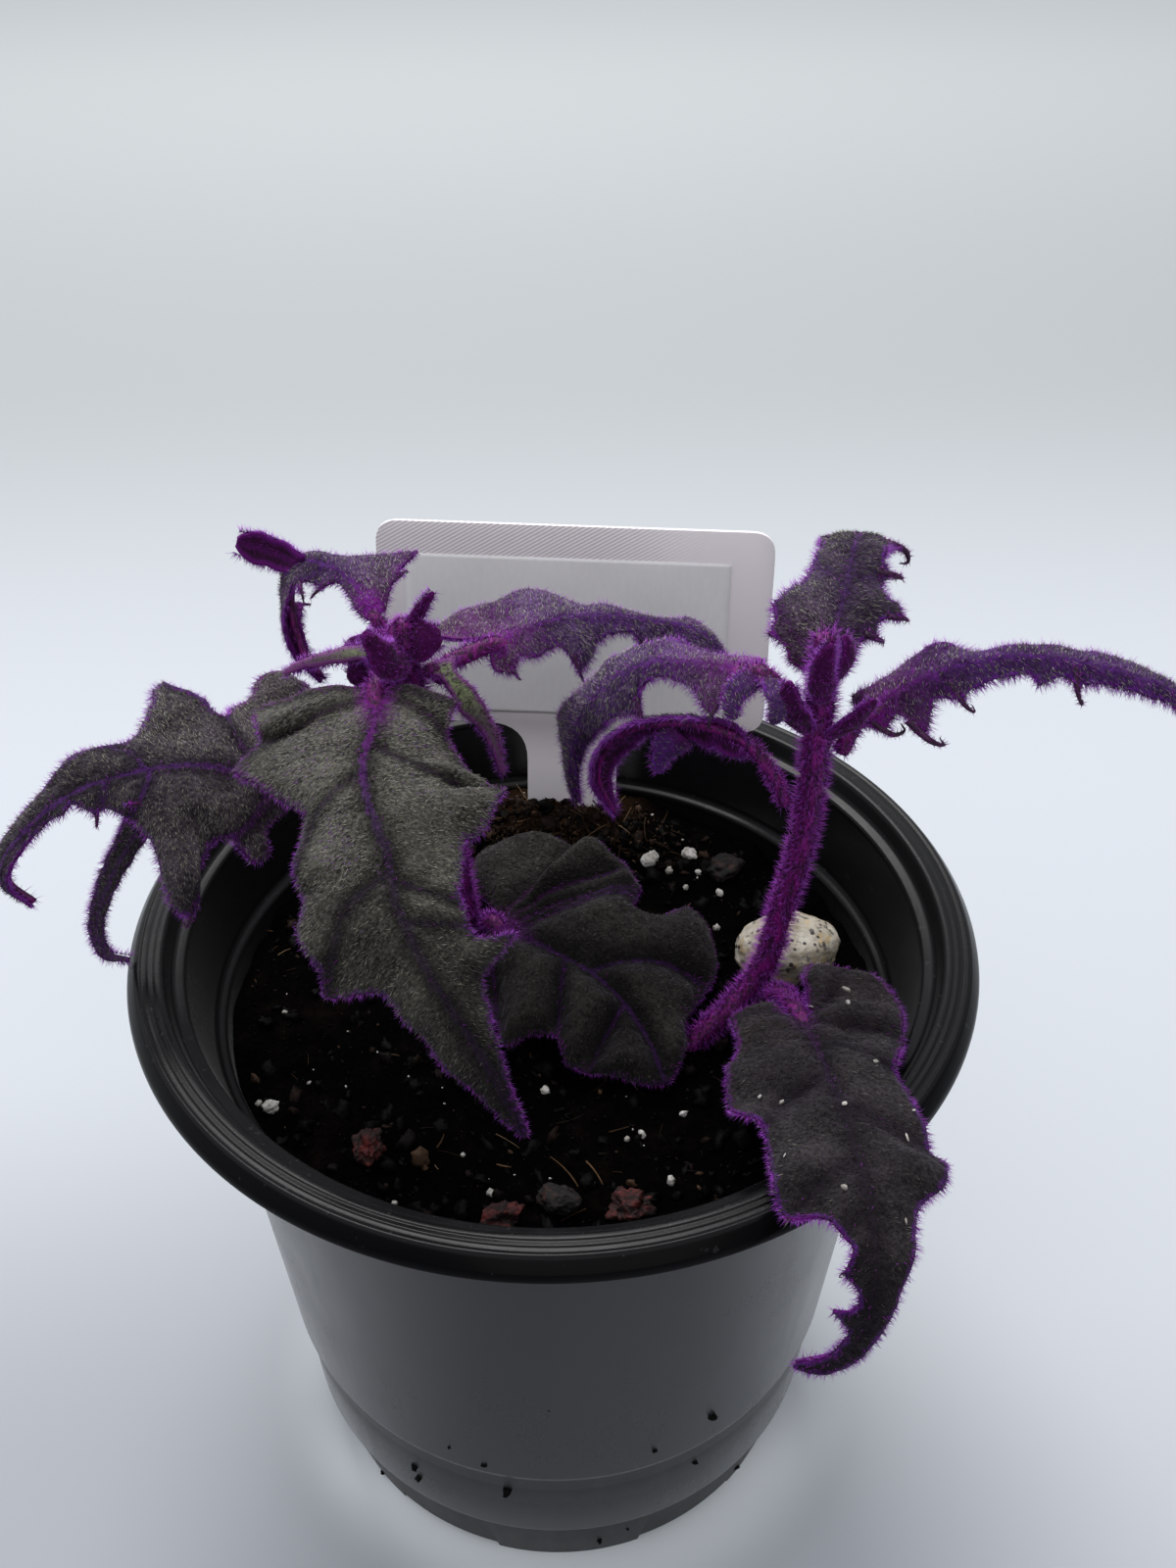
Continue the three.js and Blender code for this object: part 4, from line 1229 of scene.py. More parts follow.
@dataclass
class Studio:
    """The floor, the light and the camera. Lengths in metres, angles in degrees."""

    eye: Triple = (-0.0032, -0.1500, 0.2306)
    yaw: float = 2.84
    pitch: float = 37.5
    roll: float = 0.16
    lens: float = 36.0
    floor_size: float = 3.0
    sky: Colour = (0.93, 0.96, 1.0)
    sky_strength: float = 1.2
    sky_low: float = 0.3
    sky_tilt: Triple = (-0.3, 0.45, 0.97)
    aim: Triple = (0, 0, 0.05)
    lamps: Sequence[tuple[str, Triple, float, float]] = (
        ("top_light", (-0.1, 0.5, 1.0), 0.5, 7.0), ("front_light", (0.1, -0.8, 0.6), 0.9, 2.0),
    )

    def build(self) -> None:
        """Puts the studio up."""
        self.camera()
        self.floor()
        self.light()

    def camera(self) -> None:
        """Places the camera where the picture was taken from."""
        turns = [Matrix.Rotation(math.radians(angle), 4, axis)
                 for angle, axis in ((-self.yaw, "Z"), (90 - self.pitch, "X"), (self.roll, "Z"))]
        data = bpy.data.cameras.new("camera")
        data.lens = self.lens
        data.sensor_width = 36
        data.clip_start, data.clip_end = 0.005, 10
        camera = linked("camera", data)
        camera.matrix_world = Matrix.Translation(self.eye) @ turns[0] @ turns[1] @ turns[2]
        bpy.context.scene.camera = camera

    def floor(self) -> None:
        """Lays the floor."""
        shape = bmesh.new()
        bmesh.ops.create_grid(shape, x_segments=2, y_segments=2, size=self.floor_size)
        floor = linked("floor", baked("floor", shape))
        floor.data.materials.append(FloorFinish("pale_floor_painted_light").build())

    def light(self) -> None:
        """Hangs soft lamps in a pale sky that is brightest overhead, a little behind and to the left."""
        world = bpy.data.worlds.new("studio")
        world.use_nodes = True
        nodes, link = world.node_tree.nodes, world.node_tree.links.new
        sky = nodes["Background"]
        sky.inputs["Color"].default_value = (*self.sky, 1)
        tilt, fade = nodes.new("ShaderNodeVectorMath"), nodes.new("ShaderNodeMapRange")
        tilt.operation = "DOT_PRODUCT"
        link(nodes.new("ShaderNodeTexCoord").outputs["Generated"], tilt.inputs[0])
        tilt.inputs[1].default_value = self.sky_tilt
        link(tilt.outputs["Value"], fade.inputs["Value"])
        for socket, number in zip(fade.inputs[1:5], (0.0, 1.0, self.sky_low, self.sky_strength)):
            socket.default_value = number
        link(fade.outputs[0], sky.inputs["Strength"])
        bpy.context.scene.world = world
        bpy.context.scene.view_settings.view_transform = "Standard"
        bpy.context.scene.view_settings.look = "Medium High Contrast"
        for name, place, size, power in self.lamps:
            data = bpy.data.lights.new(name, "AREA")
            data.size = size
            data.energy = power
            data.color = (1.0, 0.98, 0.96)
            lamp = linked(name, data)
            lamp.location = place
            lamp.rotation_euler = (Vector(place) - Vector(self.aim)).to_track_quat("Z", "Y").to_euler()


# The pot


@dataclass
class Pot:
    """The nursery pot: a turned shell with a stepped rim, notched feet and drain holes."""

    profile: Points = (
        (0, 0), (8, 0), (8.6, 3), (31, 3), (31.6, 0), (35.6, 0), (38.4, 12.2), (38.75, 12.7), (39.25, 20.5),
        (39.6, 25.2), (40.2, 28.7), (40.5, 29.5), (44.7, 81), (45.4, 82), (48.0, 91.6), (53.2, 91.9),
        (54.0, 92.4), (53.8, 93.3), (52.7, 94.8), (52.2, 95.0), (51.9, 94.85), (51.3, 94.85), (51.1, 94.95),
        (50.5, 94.85), (50.3, 94.95), (49.6, 94.9), (49.2, 94.6), (48.6, 93.0), (48.2, 92.7), (47.0, 92.5),
        (46.8, 92.0), (44.6, 83.2), (44.2, 82.6), (43.2, 82.3), (43.0, 81.6), (39.3, 29.5), (37.4, 12.6),
        (34.6, 4.6), (0, 4.6),
    )
    steps: int = 220
    corner: float = 0.3
    rim_level: float = 91.0
    foot_level: float = 12.4
    step_level: float = 70.0
    wall: float = 45.3
    lip: float = 52.6
    foot_count: int = 6
    notch: Triple = (8, 16.5, 2.6)
    notch_radius: float = 34.5
    drain_radius: float = 3.5
    drain_circle: float = 22.0

    def build(self) -> None:
        """Makes the pot."""
        shell = bmesh.new()
        line = rounded([(r, z, self.corner if r else 0) for r, z in self.profile], (0, 0.5, 1))
        verts = [shell.verts.new((r, 0, z)) for r, z in line]
        edges = [shell.edges.new(pair) for pair in zip(verts, verts[1:])]
        bmesh.ops.spin(shell, geom=verts + edges, cent=(0, 0, 0), axis=(0, 0, 1), dvec=(0, 0, 0),
                       angle=2 * math.pi, steps=self.steps, use_merge=True, use_duplicate=False)
        bmesh.ops.remove_doubles(shell, verts=shell.verts, dist=1e-3)
        bmesh.ops.recalc_face_normals(shell, faces=shell.faces)
        whole = self.cut(shell)
        for face in whole.polygons:
            x, y, z = face.center
            reach = math.hypot(x, y)
            inner = z > self.rim_level or z > self.step_level and reach < self.wall
            outer = 2 if z > self.rim_level and reach > self.lip else int(inner)
            face.material_index = 3 if z < self.foot_level else outer
        finishes = [
            # The rim and lip finishes are the same plastic as the body, made darker and less shiny: painted
            # shade.
            PotFinish("pot_plastic"),
            PotFinish("pot_rim_shaded", ground=(0.0045, 0.0045, 0.005), shine=0.16, rough=(0.2, 0.32)),
            PotFinish("pot_lip_shaded", ground=(0.0025, 0.0025, 0.003), shine=0.1),
            PotFinish("pot_foot", shine=0.5, bloom=0.04),
        ]
        add_piece("pot_shell", whole, [finish.build() for finish in finishes], ["pot"], 32)

    def cutters(self) -> Shape:
        """The notches between the feet and the drain holes, as one shape.

        Returns:
            The shape.
        """
        tools = bmesh.new()
        for i in range(self.foot_count):
            turn, half = 2 * math.pi * i / self.foot_count, math.pi / self.foot_count
            made = bmesh.ops.create_cube(tools, size=1)["verts"]
            bmesh.ops.scale(tools, verts=made, vec=self.notch)
            bmesh.ops.translate(tools, verts=made, vec=(self.notch_radius, 0, self.notch[2] / 2 - 0.5))
            bmesh.ops.rotate(tools, verts=made, matrix=Matrix.Rotation(turn, 3, "Z"))
            made = bmesh.ops.create_cone(tools, cap_ends=True, segments=32, radius1=self.drain_radius,
                                         radius2=self.drain_radius, depth=6)["verts"]
            bmesh.ops.translate(tools, verts=made, vec=(self.drain_circle, 0, 4))
            bmesh.ops.rotate(tools, verts=made, matrix=Matrix.Rotation(turn + half, 3, "Z"))
        return tools

    def cut(self, shell: Shape) -> bpy.types.Mesh:
        """Cuts the notches and holes.

        Args:
            shell: the turned shell, which is freed.

        Returns:
            The shell with its cuts.
        """
        shapes = {"shell": shell, "cutters": self.cutters()}
        spare = [linked(name, baked(name, shape)) for name, shape in shapes.items()]
        step = spare[0].modifiers.new("cut", "BOOLEAN")
        step.operation = "DIFFERENCE"
        step.object = spare[1]
        bpy.context.view_layer.update()
        whole = spare[0].evaluated_get(bpy.context.evaluated_depsgraph_get())
        result = bpy.data.meshes.new_from_object(whole)
        result.name = "pot_shell"
        for item in spare:
            mesh = item.data
            bpy.data.objects.remove(item)
            bpy.data.meshes.remove(mesh)
        return result


# What fills the pot


def lump(half: Sequence[float], rough: float, seed: float, detail: int,
         grain: float = 1.4) -> Shape:
    """A rough lump round the origin.

    Args:
        half: its half sizes.
        rough: how far its skin moves in and out, as a share.
        seed: shifts the pattern of its skin.
        detail: how finely it is divided.
        grain: how small its bumps are.

    Returns:
        The lump.
    """
    shape = bmesh.new()
    bmesh.ops.create_icosphere(shape, subdivisions=detail, radius=1)
    for vert in shape.verts:
        spot = vert.co * grain + Vector((seed, seed * 1.7, -seed))
        facet = noise.voronoi(spot * 0.8)[0][0]
        vert.co *= 1 + rough * (noise.fractal(spot, 0.9, 2.1, 4) * 0.8 + 0.9 * (facet - 0.4))
    bmesh.ops.scale(shape, verts=shape.verts, vec=half)
    return shape


@dataclass
class Soil:
    """The peat in the pot, with its crumbs, grit, fibres and lumps."""

    radius: float = 42.7
    level: float = 79.6
    mound_height: float = 4.4
    mound_centre: tuple[float, float] = (2, 38)
    mound_reach: tuple[float, float] = (13, 8)
    step: float = 0.8
    walls: Points = ((38.9, 29.8), (36.8, 12.8), (33.8, 6.0))
    heap_middle: tuple[float, float] = (3, 34)
    heap_spread: tuple[float, float] = (9, 4.5)
    tuft_middle: tuple[float, float] = (-37, 15)
    tuft_spread: float = 2.2
    tuft_count: int = 12
    crumb_count: int = 560
    dust_count: int = 1900
    fibre_count: int = 330
    speck_count: int = 60
    seed: int = 41
    grit: Points = (
        (-40, -19.7, 1.0), (17.5, 25.1, 0.8), (21.6, 23.4, 0.7), (24.3, 18.9, 0.9), (23.2, 12.7, 0.8),
        (-8.7, -32.6, 0.7), (-1.9, -17.2, 0.8), (9.8, -23.9, 0.7), (7.9, -25, 0.6), (15.2, -21.3, 0.7),
        (12.6, -32.2, 0.8), (6.3, -38.3, 0.7), (-37.7, -17, 0.8), (-20, -33, 0.5), (-12, -27, 0.5),
        (19.5, 20.5, 0.6), (-30, 8, 0.6), (-36, -2, 0.5), (28, -22, 0.6), (36, -12, 0.6), (-4, 24, 0.6),
    )
    bark: Points = (
        (25.4, 23.8, 80.8, 2.6, 2.0, 1.6, 30), (-0.8, -34.2, 80.6, 2.5, 1.8, 1.5, -20),
        (-7.4, -36.4, 80.4, 2.0, 1.6, 1.3, 55), (7.6, -35.6, 80.4, 2.0, 1.7, 1.3, 5),
        (-23.4, -25.2, 80.5, 2.2, 1.6, 1.4, 80),
    )
    perlite: Points = (
        (-36, -18.4, 80.5, 1.05, 0.85, 0.75, 15), (14.8, 26.6, 80.6, 1.5, 1.1, 1.0, 60),
        (20.8, 27.6, 80.4, 1.3, 1.0, 0.9, 130),
    )
    splashes: Points = (
        (-8.4, -38.8, 24.2, 0.75), (-11.3, -39, 31.5, 0.4), (-15.9, -37.6, 33.8, 0.35),
        (-21.4, -33, 21, 0.55), (-21.1, -33, 18, 0.45), (11.4, -39.2, 33.5, 0.35), (17.6, -35.4, 23.2, 0.4),
        (19.3, -36.2, 36.2, 0.7), (4.4, -36.5, 5.2, 0.5), (8.4, -36.4, 7.8, 0.35), (-28, -22.3, 0.8, 0.5),
        (25.5, -26.6, 5.5, 0.7), (-2.5, -41.9, 48.8, 0.25),
    )
    pebble: Sequence[float] = (31.6, 3.6, 83.4, 7.2, 5.6, 4.6, 12)

    def mound(self, x: Array, y: Array) -> Array:
        """How much of the heap round the label there is at each place, from 0 to 1."""
        return np.exp(-((x - self.mound_centre[0]) / self.mound_reach[0]) ** 2
                      - ((y - self.mound_centre[1]) / self.mound_reach[1]) ** 2)

    def top(self, x: Array, y: Array) -> Array:
        """Height of the rough surface of the soil.

        Args:
            x: how far right each place is.
            y: how far back it is.

        Returns:
            The heights.
        """
        uneven = 0.5 * np.sin(x * 0.31 + 1) * np.cos(y * 0.27) + 0.3 * np.sin(x * 0.83 - y * 0.6)
        smooth = self.level + self.mound_height * self.mound(x, y) + uneven
        rough = np.array([noise.fractal(Vector((a * 0.22, b * 0.22, 3)), 0.8, 2.2, 6) for a, b in zip(x, y)])
        return smooth + (0.95 * rough + 0.5 * np.maximum(0, ripple(x * 0.9, y * 0.9, 9)))

    def build(self) -> None:
        """Makes everything that lies in the pot."""
        self.bed()
        self.crumbs()
        self.fibres()
        self.lumps()

    def bed(self) -> None:
        """Makes the body of the soil, rough on top."""
        turn = np.linspace(0, 2 * math.pi, 160, endpoint=False)
        bed = cut_sheet(np.stack([np.cos(turn), np.sin(turn)], 1) * self.radius, self.step)
        flat = spots_of(bed)
        flat[:, 2] = self.top(flat[:, 0], flat[:, 1])
        move_spots(bed, flat)
        paint(bed, mound=self.mound(flat[:, 0], flat[:, 1]))
        for radius, level in self.walls:
            rim = [e for e in bed.edges if e.is_boundary]
            made = bmesh.ops.extrude_edge_only(bed, edges=rim)["geom"]
            for vert in (v for v in made if isinstance(v, bmesh.types.BMVert)):
                scale = radius / math.hypot(vert.co.x, vert.co.y)
                vert.co = (vert.co.x * scale, vert.co.y * scale, level)
        bmesh.ops.contextual_create(bed, geom=[e for e in bed.edges if e.is_boundary])
        bmesh.ops.recalc_face_normals(bed, faces=bed.faces)
        add_piece("soil_bed", bed, [SoilFinish("moist_peat").build()], ["soil"])

    def scatter(self, random: Random, count: int, reach: float) -> Array:
        """Draws places on the soil, evenly over the disc, and gives their height too.

        Args:
            random: the source of the draws.
            count: how many.
            reach: the disc's radius.

        Returns:
            The places.
        """
        turn, far = random.random(count) * 2 * math.pi, np.sqrt(random.random(count)) * reach
        x, y = far * np.cos(turn), far * np.sin(turn)
        return np.stack([x, y, self.top(x, y)], 1)

    def on_heap(self, random: Random, count: int) -> Array:
        """Draws places on the heap round the label, and gives their height too.

        Args:
            random: the source of the draws.
            count: how many are tried.

        Returns:
            The places that lie in the pot.
        """
        flat = random.normal(size=(count, 2)) * self.heap_spread + self.heap_middle
        flat = flat[np.hypot(flat[:, 0], flat[:, 1]) < self.radius - 3]
        return np.column_stack([flat, self.top(flat[:, 0], flat[:, 1])])

    def crumbs(self) -> None:
        """Strews crumbs of peat, finer dust and white grit over the soil."""
        random = np.random.default_rng(self.seed)
        for name, count, (small, large), detail in (("soil_crumbs", self.crumb_count, (0.4, 1.15), 2),
                                                    ("soil_dust", self.dust_count, (0.18, 0.5), 1)):
            swarm = Swarm(lump((1, 1, 1), 0.9, 3.1, detail, 1.6))
            spots = self.scatter(random, count, self.radius - 1.4)
            size = random.uniform(small, large, (count, 1)) ** 1.6 * random.uniform(0.35, 1.3, (count, 3))
            swarm.add(spots, tumbled(random, size), tones=random.random(count) ** 1.6)
            heap = self.on_heap(random, count // 2)
            size = random.uniform(small * 0.7, large * 0.6, (len(heap), 1))
            size = size * random.uniform(0.4, 1.4, (len(heap), 3))
            swarm.add(heap, tumbled(random, size), tones=random.uniform(0.8, 1, len(heap)))
            if name == "soil_crumbs":
                spots = np.array(self.splashes, float)
                size = spots[:, 3:] * random.uniform(0.5, 1.1, (len(spots), 3))
                swarm.add(spots[:, :3], tumbled(random, size))
            swarm.piece(name, Slot.SOIL, CrumbFinish(name + "_finish").build())
        swarm = Swarm(lump((1, 1, 1), 0.5, 7.7, 2, 1.3))
        x, y, large = np.array(self.grit, float).T
        spots = np.vstack([np.stack([x, y, self.top(x, y) + 0.3], 1),
                           self.scatter(random, self.speck_count, self.radius - 2)])
        small = random.uniform(0.12, 0.26, self.speck_count)
        size = np.concatenate([large * 0.75, small])[:, None] * random.uniform(0.7, 1.1, (len(spots), 3))
        swarm.add(spots, tumbled(random, size), tones=random.random(len(spots)))
        swarm.piece("perlite_grit", Slot.PERLITE, PerliteFinish("grit").build())

    def fibres(self) -> None:
        """Lays brown fibres on the soil: some all over, more on the heap, and a tuft at the left."""
        random = np.random.default_rng(self.seed + 1)
        swarm = Swarm(post(5, 0.6, 5))
        spread = self.scatter(random, self.fibre_count // 5, self.radius - 5)
        heap = self.on_heap(random, self.fibre_count - len(spread))
        tuft = random.normal(size=(self.tuft_count, 2)) * self.tuft_spread + self.tuft_middle
        tuft = np.column_stack([tuft, self.top(tuft[:, 0], tuft[:, 1])])
        spots = np.vstack([spread, heap, tuft]) + (0, 0, 0.25)
        count = len(spots)
        turn = random.random(count) * 2 * math.pi
        way = unit(np.stack([np.cos(turn), np.sin(turn), random.normal(0, 0.14, count)], 1))
        side = unit(np.cross(way, (0, 0, 1.0)))
        length = random.uniform(1.2, 5.5, count)
        thick = random.uniform(0.04, 0.15, (count, 1))
        frames = np.stack([side * thick, np.cross(way, side) * thick, way * length[:, None]], 1)
        bends = side * (random.normal(0, 0.22, count) * length)[:, None]
        far = np.hypot(*(spots + frames[:, 2])[:, :2].T)
        keep = far < self.radius - 0.8
        swarm.add(spots[keep], frames[keep], bends[keep] - (0, 0, 0.3), random.random(count)[keep] ** 1.5)
        stops = ((0.0, (0.012, 0.008, 0.006)), (0.5, (0.06, 0.032, 0.016)), (0.85, (0.15, 0.09, 0.05)),
                 (1.0, (0.30, 0.22, 0.14)))
        swarm.piece("fibres", Slot.BARK, CrumbFinish("fibre", stops).build())

    def lumps(self) -> None:
        """Makes the pebble, the bark chips and the large white grains, each over its own node."""
        chalk = PerliteFinish("perlite").build()
        red = LumpFinish("red_crumb", (0.022, 0.003, 0.003), (0.15, 0.022, 0.02)).build()
        bark = LumpFinish("dark_bark", (0.006, 0.004, 0.004), (0.05, 0.022, 0.018)).build()
        rows = [("pebble", self.pebble, Slot.PEBBLE, GraniteFinish("granite").build(), 0.10, 6)]
        for i, row in enumerate(self.bark):
            finish, rough = (bark, 0.35) if i < 2 else (red, 0.75)
            rows.append((f"bark_chip_{i + 1}", row, Slot.BARK, finish, rough, 5))
        rows += [(f"perlite_{i + 1}", row, Slot.PERLITE, chalk, 0.3, 4) for i, row in enumerate(self.perlite)]
        for name, (x, y, z, a, b, c, turn), slot, finish, rough, detail in rows:
            shape = lump((a, b, c), rough, x + y, detail)
            bmesh.ops.rotate(shape, verts=shape.verts, matrix=Matrix.Rotation(math.radians(turn), 3, "Z"))
            bmesh.ops.translate(shape, verts=shape.verts, vec=(x, y, z))
            add_piece(name + "_rough", shape, [finish], [name])


# The label


@dataclass
class Label:
    """The T-shaped stake label with its paper sticker."""

    thickness: float = 0.8
    length: float = 100.0
    head: tuple[float, float] = (56.0, 30.6)
    top: float = 43.2
    corner: float = 3.4
    fillet: float = 6.0
    stake: float = 13.3
    point: float = 12.0
    foot: Triple = (3.6, 37, 84)
    turn: float = -6.7
    lean: float = 10.0
    sticker: tuple[float, float] = (46.0, 24.0)
    sticker_middle: tuple[float, float] = (-1.0, 26.5)
    paper: float = 0.12

    def frame(self) -> Matrix:
        """The frame that the label stands in."""
        return (Matrix.Translation(self.foot) @ Matrix.Rotation(math.radians(self.turn), 4, "Z")
                @ Matrix.Rotation(math.radians(90 - self.lean), 4, "X"))

    def outline(self) -> Array:
        """The outline of the card, corners rounded.

        Returns:
            The corners and arcs in order, one place a row.
        """
        half, stake, low = self.head[0] / 2, self.stake / 2, self.top - self.head[1]
        tip = self.top - self.length
        right = [(0, tip, 0), (stake, tip + self.point, 0.8), (stake, low, self.fillet),
                 (half, low, self.corner), (half, self.top, self.corner)]
        left = [(-x, y, r) for x, y, r in reversed(right[1:])]
        return rounded(right + left, np.linspace(0, 1, 9))

    def build(self) -> None:
        """Makes the card and its sticker."""
        card = bmesh.new()
        face = card.faces.new([card.verts.new((x, y, -self.thickness / 2)) for x, y in self.outline()])
        made = bmesh.ops.extrude_face_region(card, geom=[face])["geom"]
        bmesh.ops.translate(card, verts=[v for v in made if isinstance(v, bmesh.types.BMVert)],
                            vec=(0, 0, self.thickness))
        bmesh.ops.recalc_face_normals(card, faces=card.faces)
        rim = [e for e in card.edges if abs(e.verts[0].co.z - e.verts[1].co.z) < NEAR]
        bmesh.ops.bevel(card, geom=rim, offset=0.14, offset_type="OFFSET", segments=2, profile=0.5,
                        affect="EDGES", material=-1)
        bmesh.ops.transform(card, matrix=self.frame(), verts=card.verts)
        add_piece("label_card", card, [LabelFinish("pressed_card").build()], ["plant_label"], 30)
        width, height = self.sticker
        x, y = self.sticker_middle
        corners = np.array([(-0.5, -0.5), (0.5, -0.5), (0.5, 0.5), (-0.5, 0.5)]) * (width, height) + (x, y)
        paper = cut_sheet(corners, 1.0)
        flat = spots_of(paper)
        right = np.clip((flat[:, 0] - x) / (width / 2), 0, 1)
        flat[:, 2] = (self.thickness / 2 + self.paper / 2 + 0.01 + 0.08 * right**6
                      + 0.04 * np.sin(flat[:, 0] * 0.4) * np.sin(flat[:, 1] * 0.5))
        move_spots(paper, flat)
        bmesh.ops.transform(paper, matrix=self.frame(), verts=paper.verts)
        finishes = [PaperFinish("paper").build()]
        piece = add_piece("label_paper", paper, finishes, ["label_sticker"], 30)
        thicken(piece, self.paper, 0)


def thicken(piece: bpy.types.Object, thickness: float, under: int) -> None:
    """Gives a sheet its thickness.

    Args:
        piece: the sheet's object.
        thickness: in millimetres, half to each side.
        under: how many places further in its list the material of the far side and the edge stands.
    """
    shell = piece.modifiers.new("thickness", "SOLIDIFY")
    shell.thickness = thickness * MM
    shell.offset = 0
    shell.use_even_offset = False
    shell.material_offset = under
    shell.material_offset_rim = under


# The plants


@dataclass(frozen=True)
class Strap:
    """A narrow leaf or lobe: its route, its widths along it and the way it faces."""

    route: Points
    widths: Sequence[float]
    facing: Sequence[float]


@dataclass(frozen=True)
class Leaf:
    """A leaf in millimetres. A margin is a list of arcs, each ending at a tooth, with points
    given as along the midrib, out from it and lift. Facing lists which way the upper side
    looks, from base to tip. Fold is how far each half falls, in degrees."""

    name: str
    petiole: Points
    midrib: Points
    facing: Points
    fold: tuple[float, float]
    left: Sequence[Points]
    right: Sequence[Points]
    lobes: Sequence[Strap] = ()
    rib: tuple[float, float] = (1.1, 0.65)
    droop: float = 0.012
    ruffle: float = 0.3
    quilt: float = 0.3
    wave: float = 0.7
    glow: float = 0.7
    core: float = 0.6
    # light is how bright the felt is: partly the leaf's own tone, partly painted shade for leaves that hang
    # in shade. fade is painted shade that darkens the felt towards the tip.
    light: float = 1.0
    fade: float = 0.3
    bloom: float = 0.0
    fringe: float = 1.0
    hook: tuple[float, float] = (1.6, 1.6)
    flecks: int = 0
    kind: Kind = Kind.FELT


class Blade:
    """The surface of one leaf: carries places along and across the midrib into space."""

    RUFFLE_LENGTH = 9.0
    RUFFLE_REACH = 10.0
    THICKNESS = 0.5
    STEP = 0.5
    VEIN_LEAN = 0.75
    SHORT_VEIN = 2.5
    NIBBLE = 0.09
    # Strength of the painted shade along the veins.
    VEIN_SHADE = 0.6
    HOOK = np.array((0.14, 0.13, 0.1, 0.06, 0.01))
    LEAST_TOOTH = 1.6
    LONG_ARC = 7.0

    def __init__(self, leaf: Leaf) -> None:
        """Works out the midrib.

        Args:
            leaf: the leaf's sizes.
        """
        self.leaf = leaf
        self.route = Route(leaf.midrib)
        self.margins = {side: self.margin(side) for side in Side}
        self.edge = np.vstack([
            self.margins[Side.LEFT], [(self.route.length + 0.5, 0)], self.margins[Side.RIGHT][::-1],
        ])
        self.middle = np.array([(-0.5, 0.0), (self.route.length, 0.0)])
        self.lines = [self.middle, *self.veins()]

    def arcs(self, side: Side) -> list[list[Array]]:
        """The arcs of one margin: each point's distance along the midrib and across it, and its lift."""
        arcs = self.leaf.left if side is Side.LEFT else self.leaf.right
        return [[np.array((*point, 0.0)[:3]) * (1, side.value, 1) for point in arc] for arc in arcs]

    def margin(self, side: Side) -> Array:
        """One margin as a fine line, smooth within each arc and pointed at each tooth.

        Args:
            side: which half of the blade it bounds.

        Returns:
            Its places along and across the midrib.
        """
        line = [np.array(self.arcs(side)[0][0][:2], float)[None]]
        before = line[0][0]
        for i, arc in enumerate(self.arcs(side)):
            points = np.array([p[:2] for p in arc], float)
            if i:
                points = np.vstack([before, points])
            before = points[-1]
            if len(points) < 2:
                continue
            places = spline(points, 24)[0]
            steps = lengths_along(places)
            marks = np.linspace(0, steps[-1], max(3, round(steps[-1] / 0.4)))
            fine = along_line(marks, steps, places)
            normal = unit(np.gradient(fine, axis=0))[:, ::-1] * (1, -1)
            shake = ripple(marks * 0.9, i * 3.7, side.value * 5.0)
            shake *= np.sqrt(np.clip(np.sin(np.pi * marks / marks[-1]), 0, 1))
            line.append((fine + normal * (self.NIBBLE * 2.2 * shake)[:, None])[1:])
        return np.vstack(line)

    def veins(self) -> list[Array]:
        """Side veins, from the midrib to each tooth and to the middle of each long arc.

        Returns:
            The veins, each as places along and across the midrib.
        """
        found = []
        for side in Side:
            last = 0.0
            arcs = self.arcs(side)
            for arc in arcs[:-1]:
                ends = [arc[-1][:2]]
                if len(arc) > 3 and abs(arc[-1][0] - arc[0][0]) > self.LONG_ARC:
                    ends.insert(0, arc[len(arc) // 2][:2])
                for along, across in ends:
                    if abs(across) < self.SHORT_VEIN:
                        continue
                    foot = max(along - self.VEIN_LEAN * abs(across), last, 0.4)
                    last = foot + 1.2
                    start = np.array((foot, 0))
                    end = start + (np.array((along, across)) - start) * 0.94
                    corner = np.array((foot + 0.25 * (end[0] - foot), 0.55 * end[1]))
                    found.append(bent(start, corner, end, np.linspace(0, 1, 9)[:, None]))
        return found

    def axes(self, along: Array) -> tuple[Array, Array, Array, Array]:
        """Places on the midrib, its direction, and the directions across it and up from it.

        Args:
            along: how far along the midrib the places lie.

        Returns:
            The four, one row a place.
        """
        place, way = self.route.at(along)
        facing = np.array(self.leaf.facing, float)
        share = np.clip(along, 0, self.route.length) / self.route.length * (len(facing) - 1)
        upper = along_line(share, range(len(facing)), facing)
        across = unit(np.cross(way, upper))
        return place, way, across, np.cross(across, way)

    def carry(self, flat: Array, height: Array | float = 0.0) -> Array:
        """Carries places along and across the midrib into space.

        Args:
            flat: the places, one a row.
            height: how far over the surface each lies.

        Returns:
            The places in space.
        """
        along, across = flat[:, 0], flat[:, 1]
        leaf = self.leaf
        place, _, side, upper = self.axes(along)
        slope = np.tan(np.radians(np.where(across < 0, leaf.fold[0], leaf.fold[1]))) * np.sign(across)
        reach = np.minimum(1, np.abs(across) / self.RUFFLE_REACH)
        wave = leaf.ruffle * reach * np.sin(2 * np.pi * along / self.RUFFLE_LENGTH)
        lifted = [point for side in Side for arc in self.arcs(side) for point in arc if point[2]]
        lift = sum((z * np.exp(-((along - x) ** 2 + (across - y) ** 2) / 9) for x, y, z in lifted), 0.0)
        fall = slope * across + leaf.droop * across**2 - lift - wave
        normal = unit(upper + side * (slope + 2 * leaf.droop * across)[:, None])
        height = np.broadcast_to(height, along.shape)
        return place + side * across[:, None] - upper * fall[:, None] + normal * height[:, None]

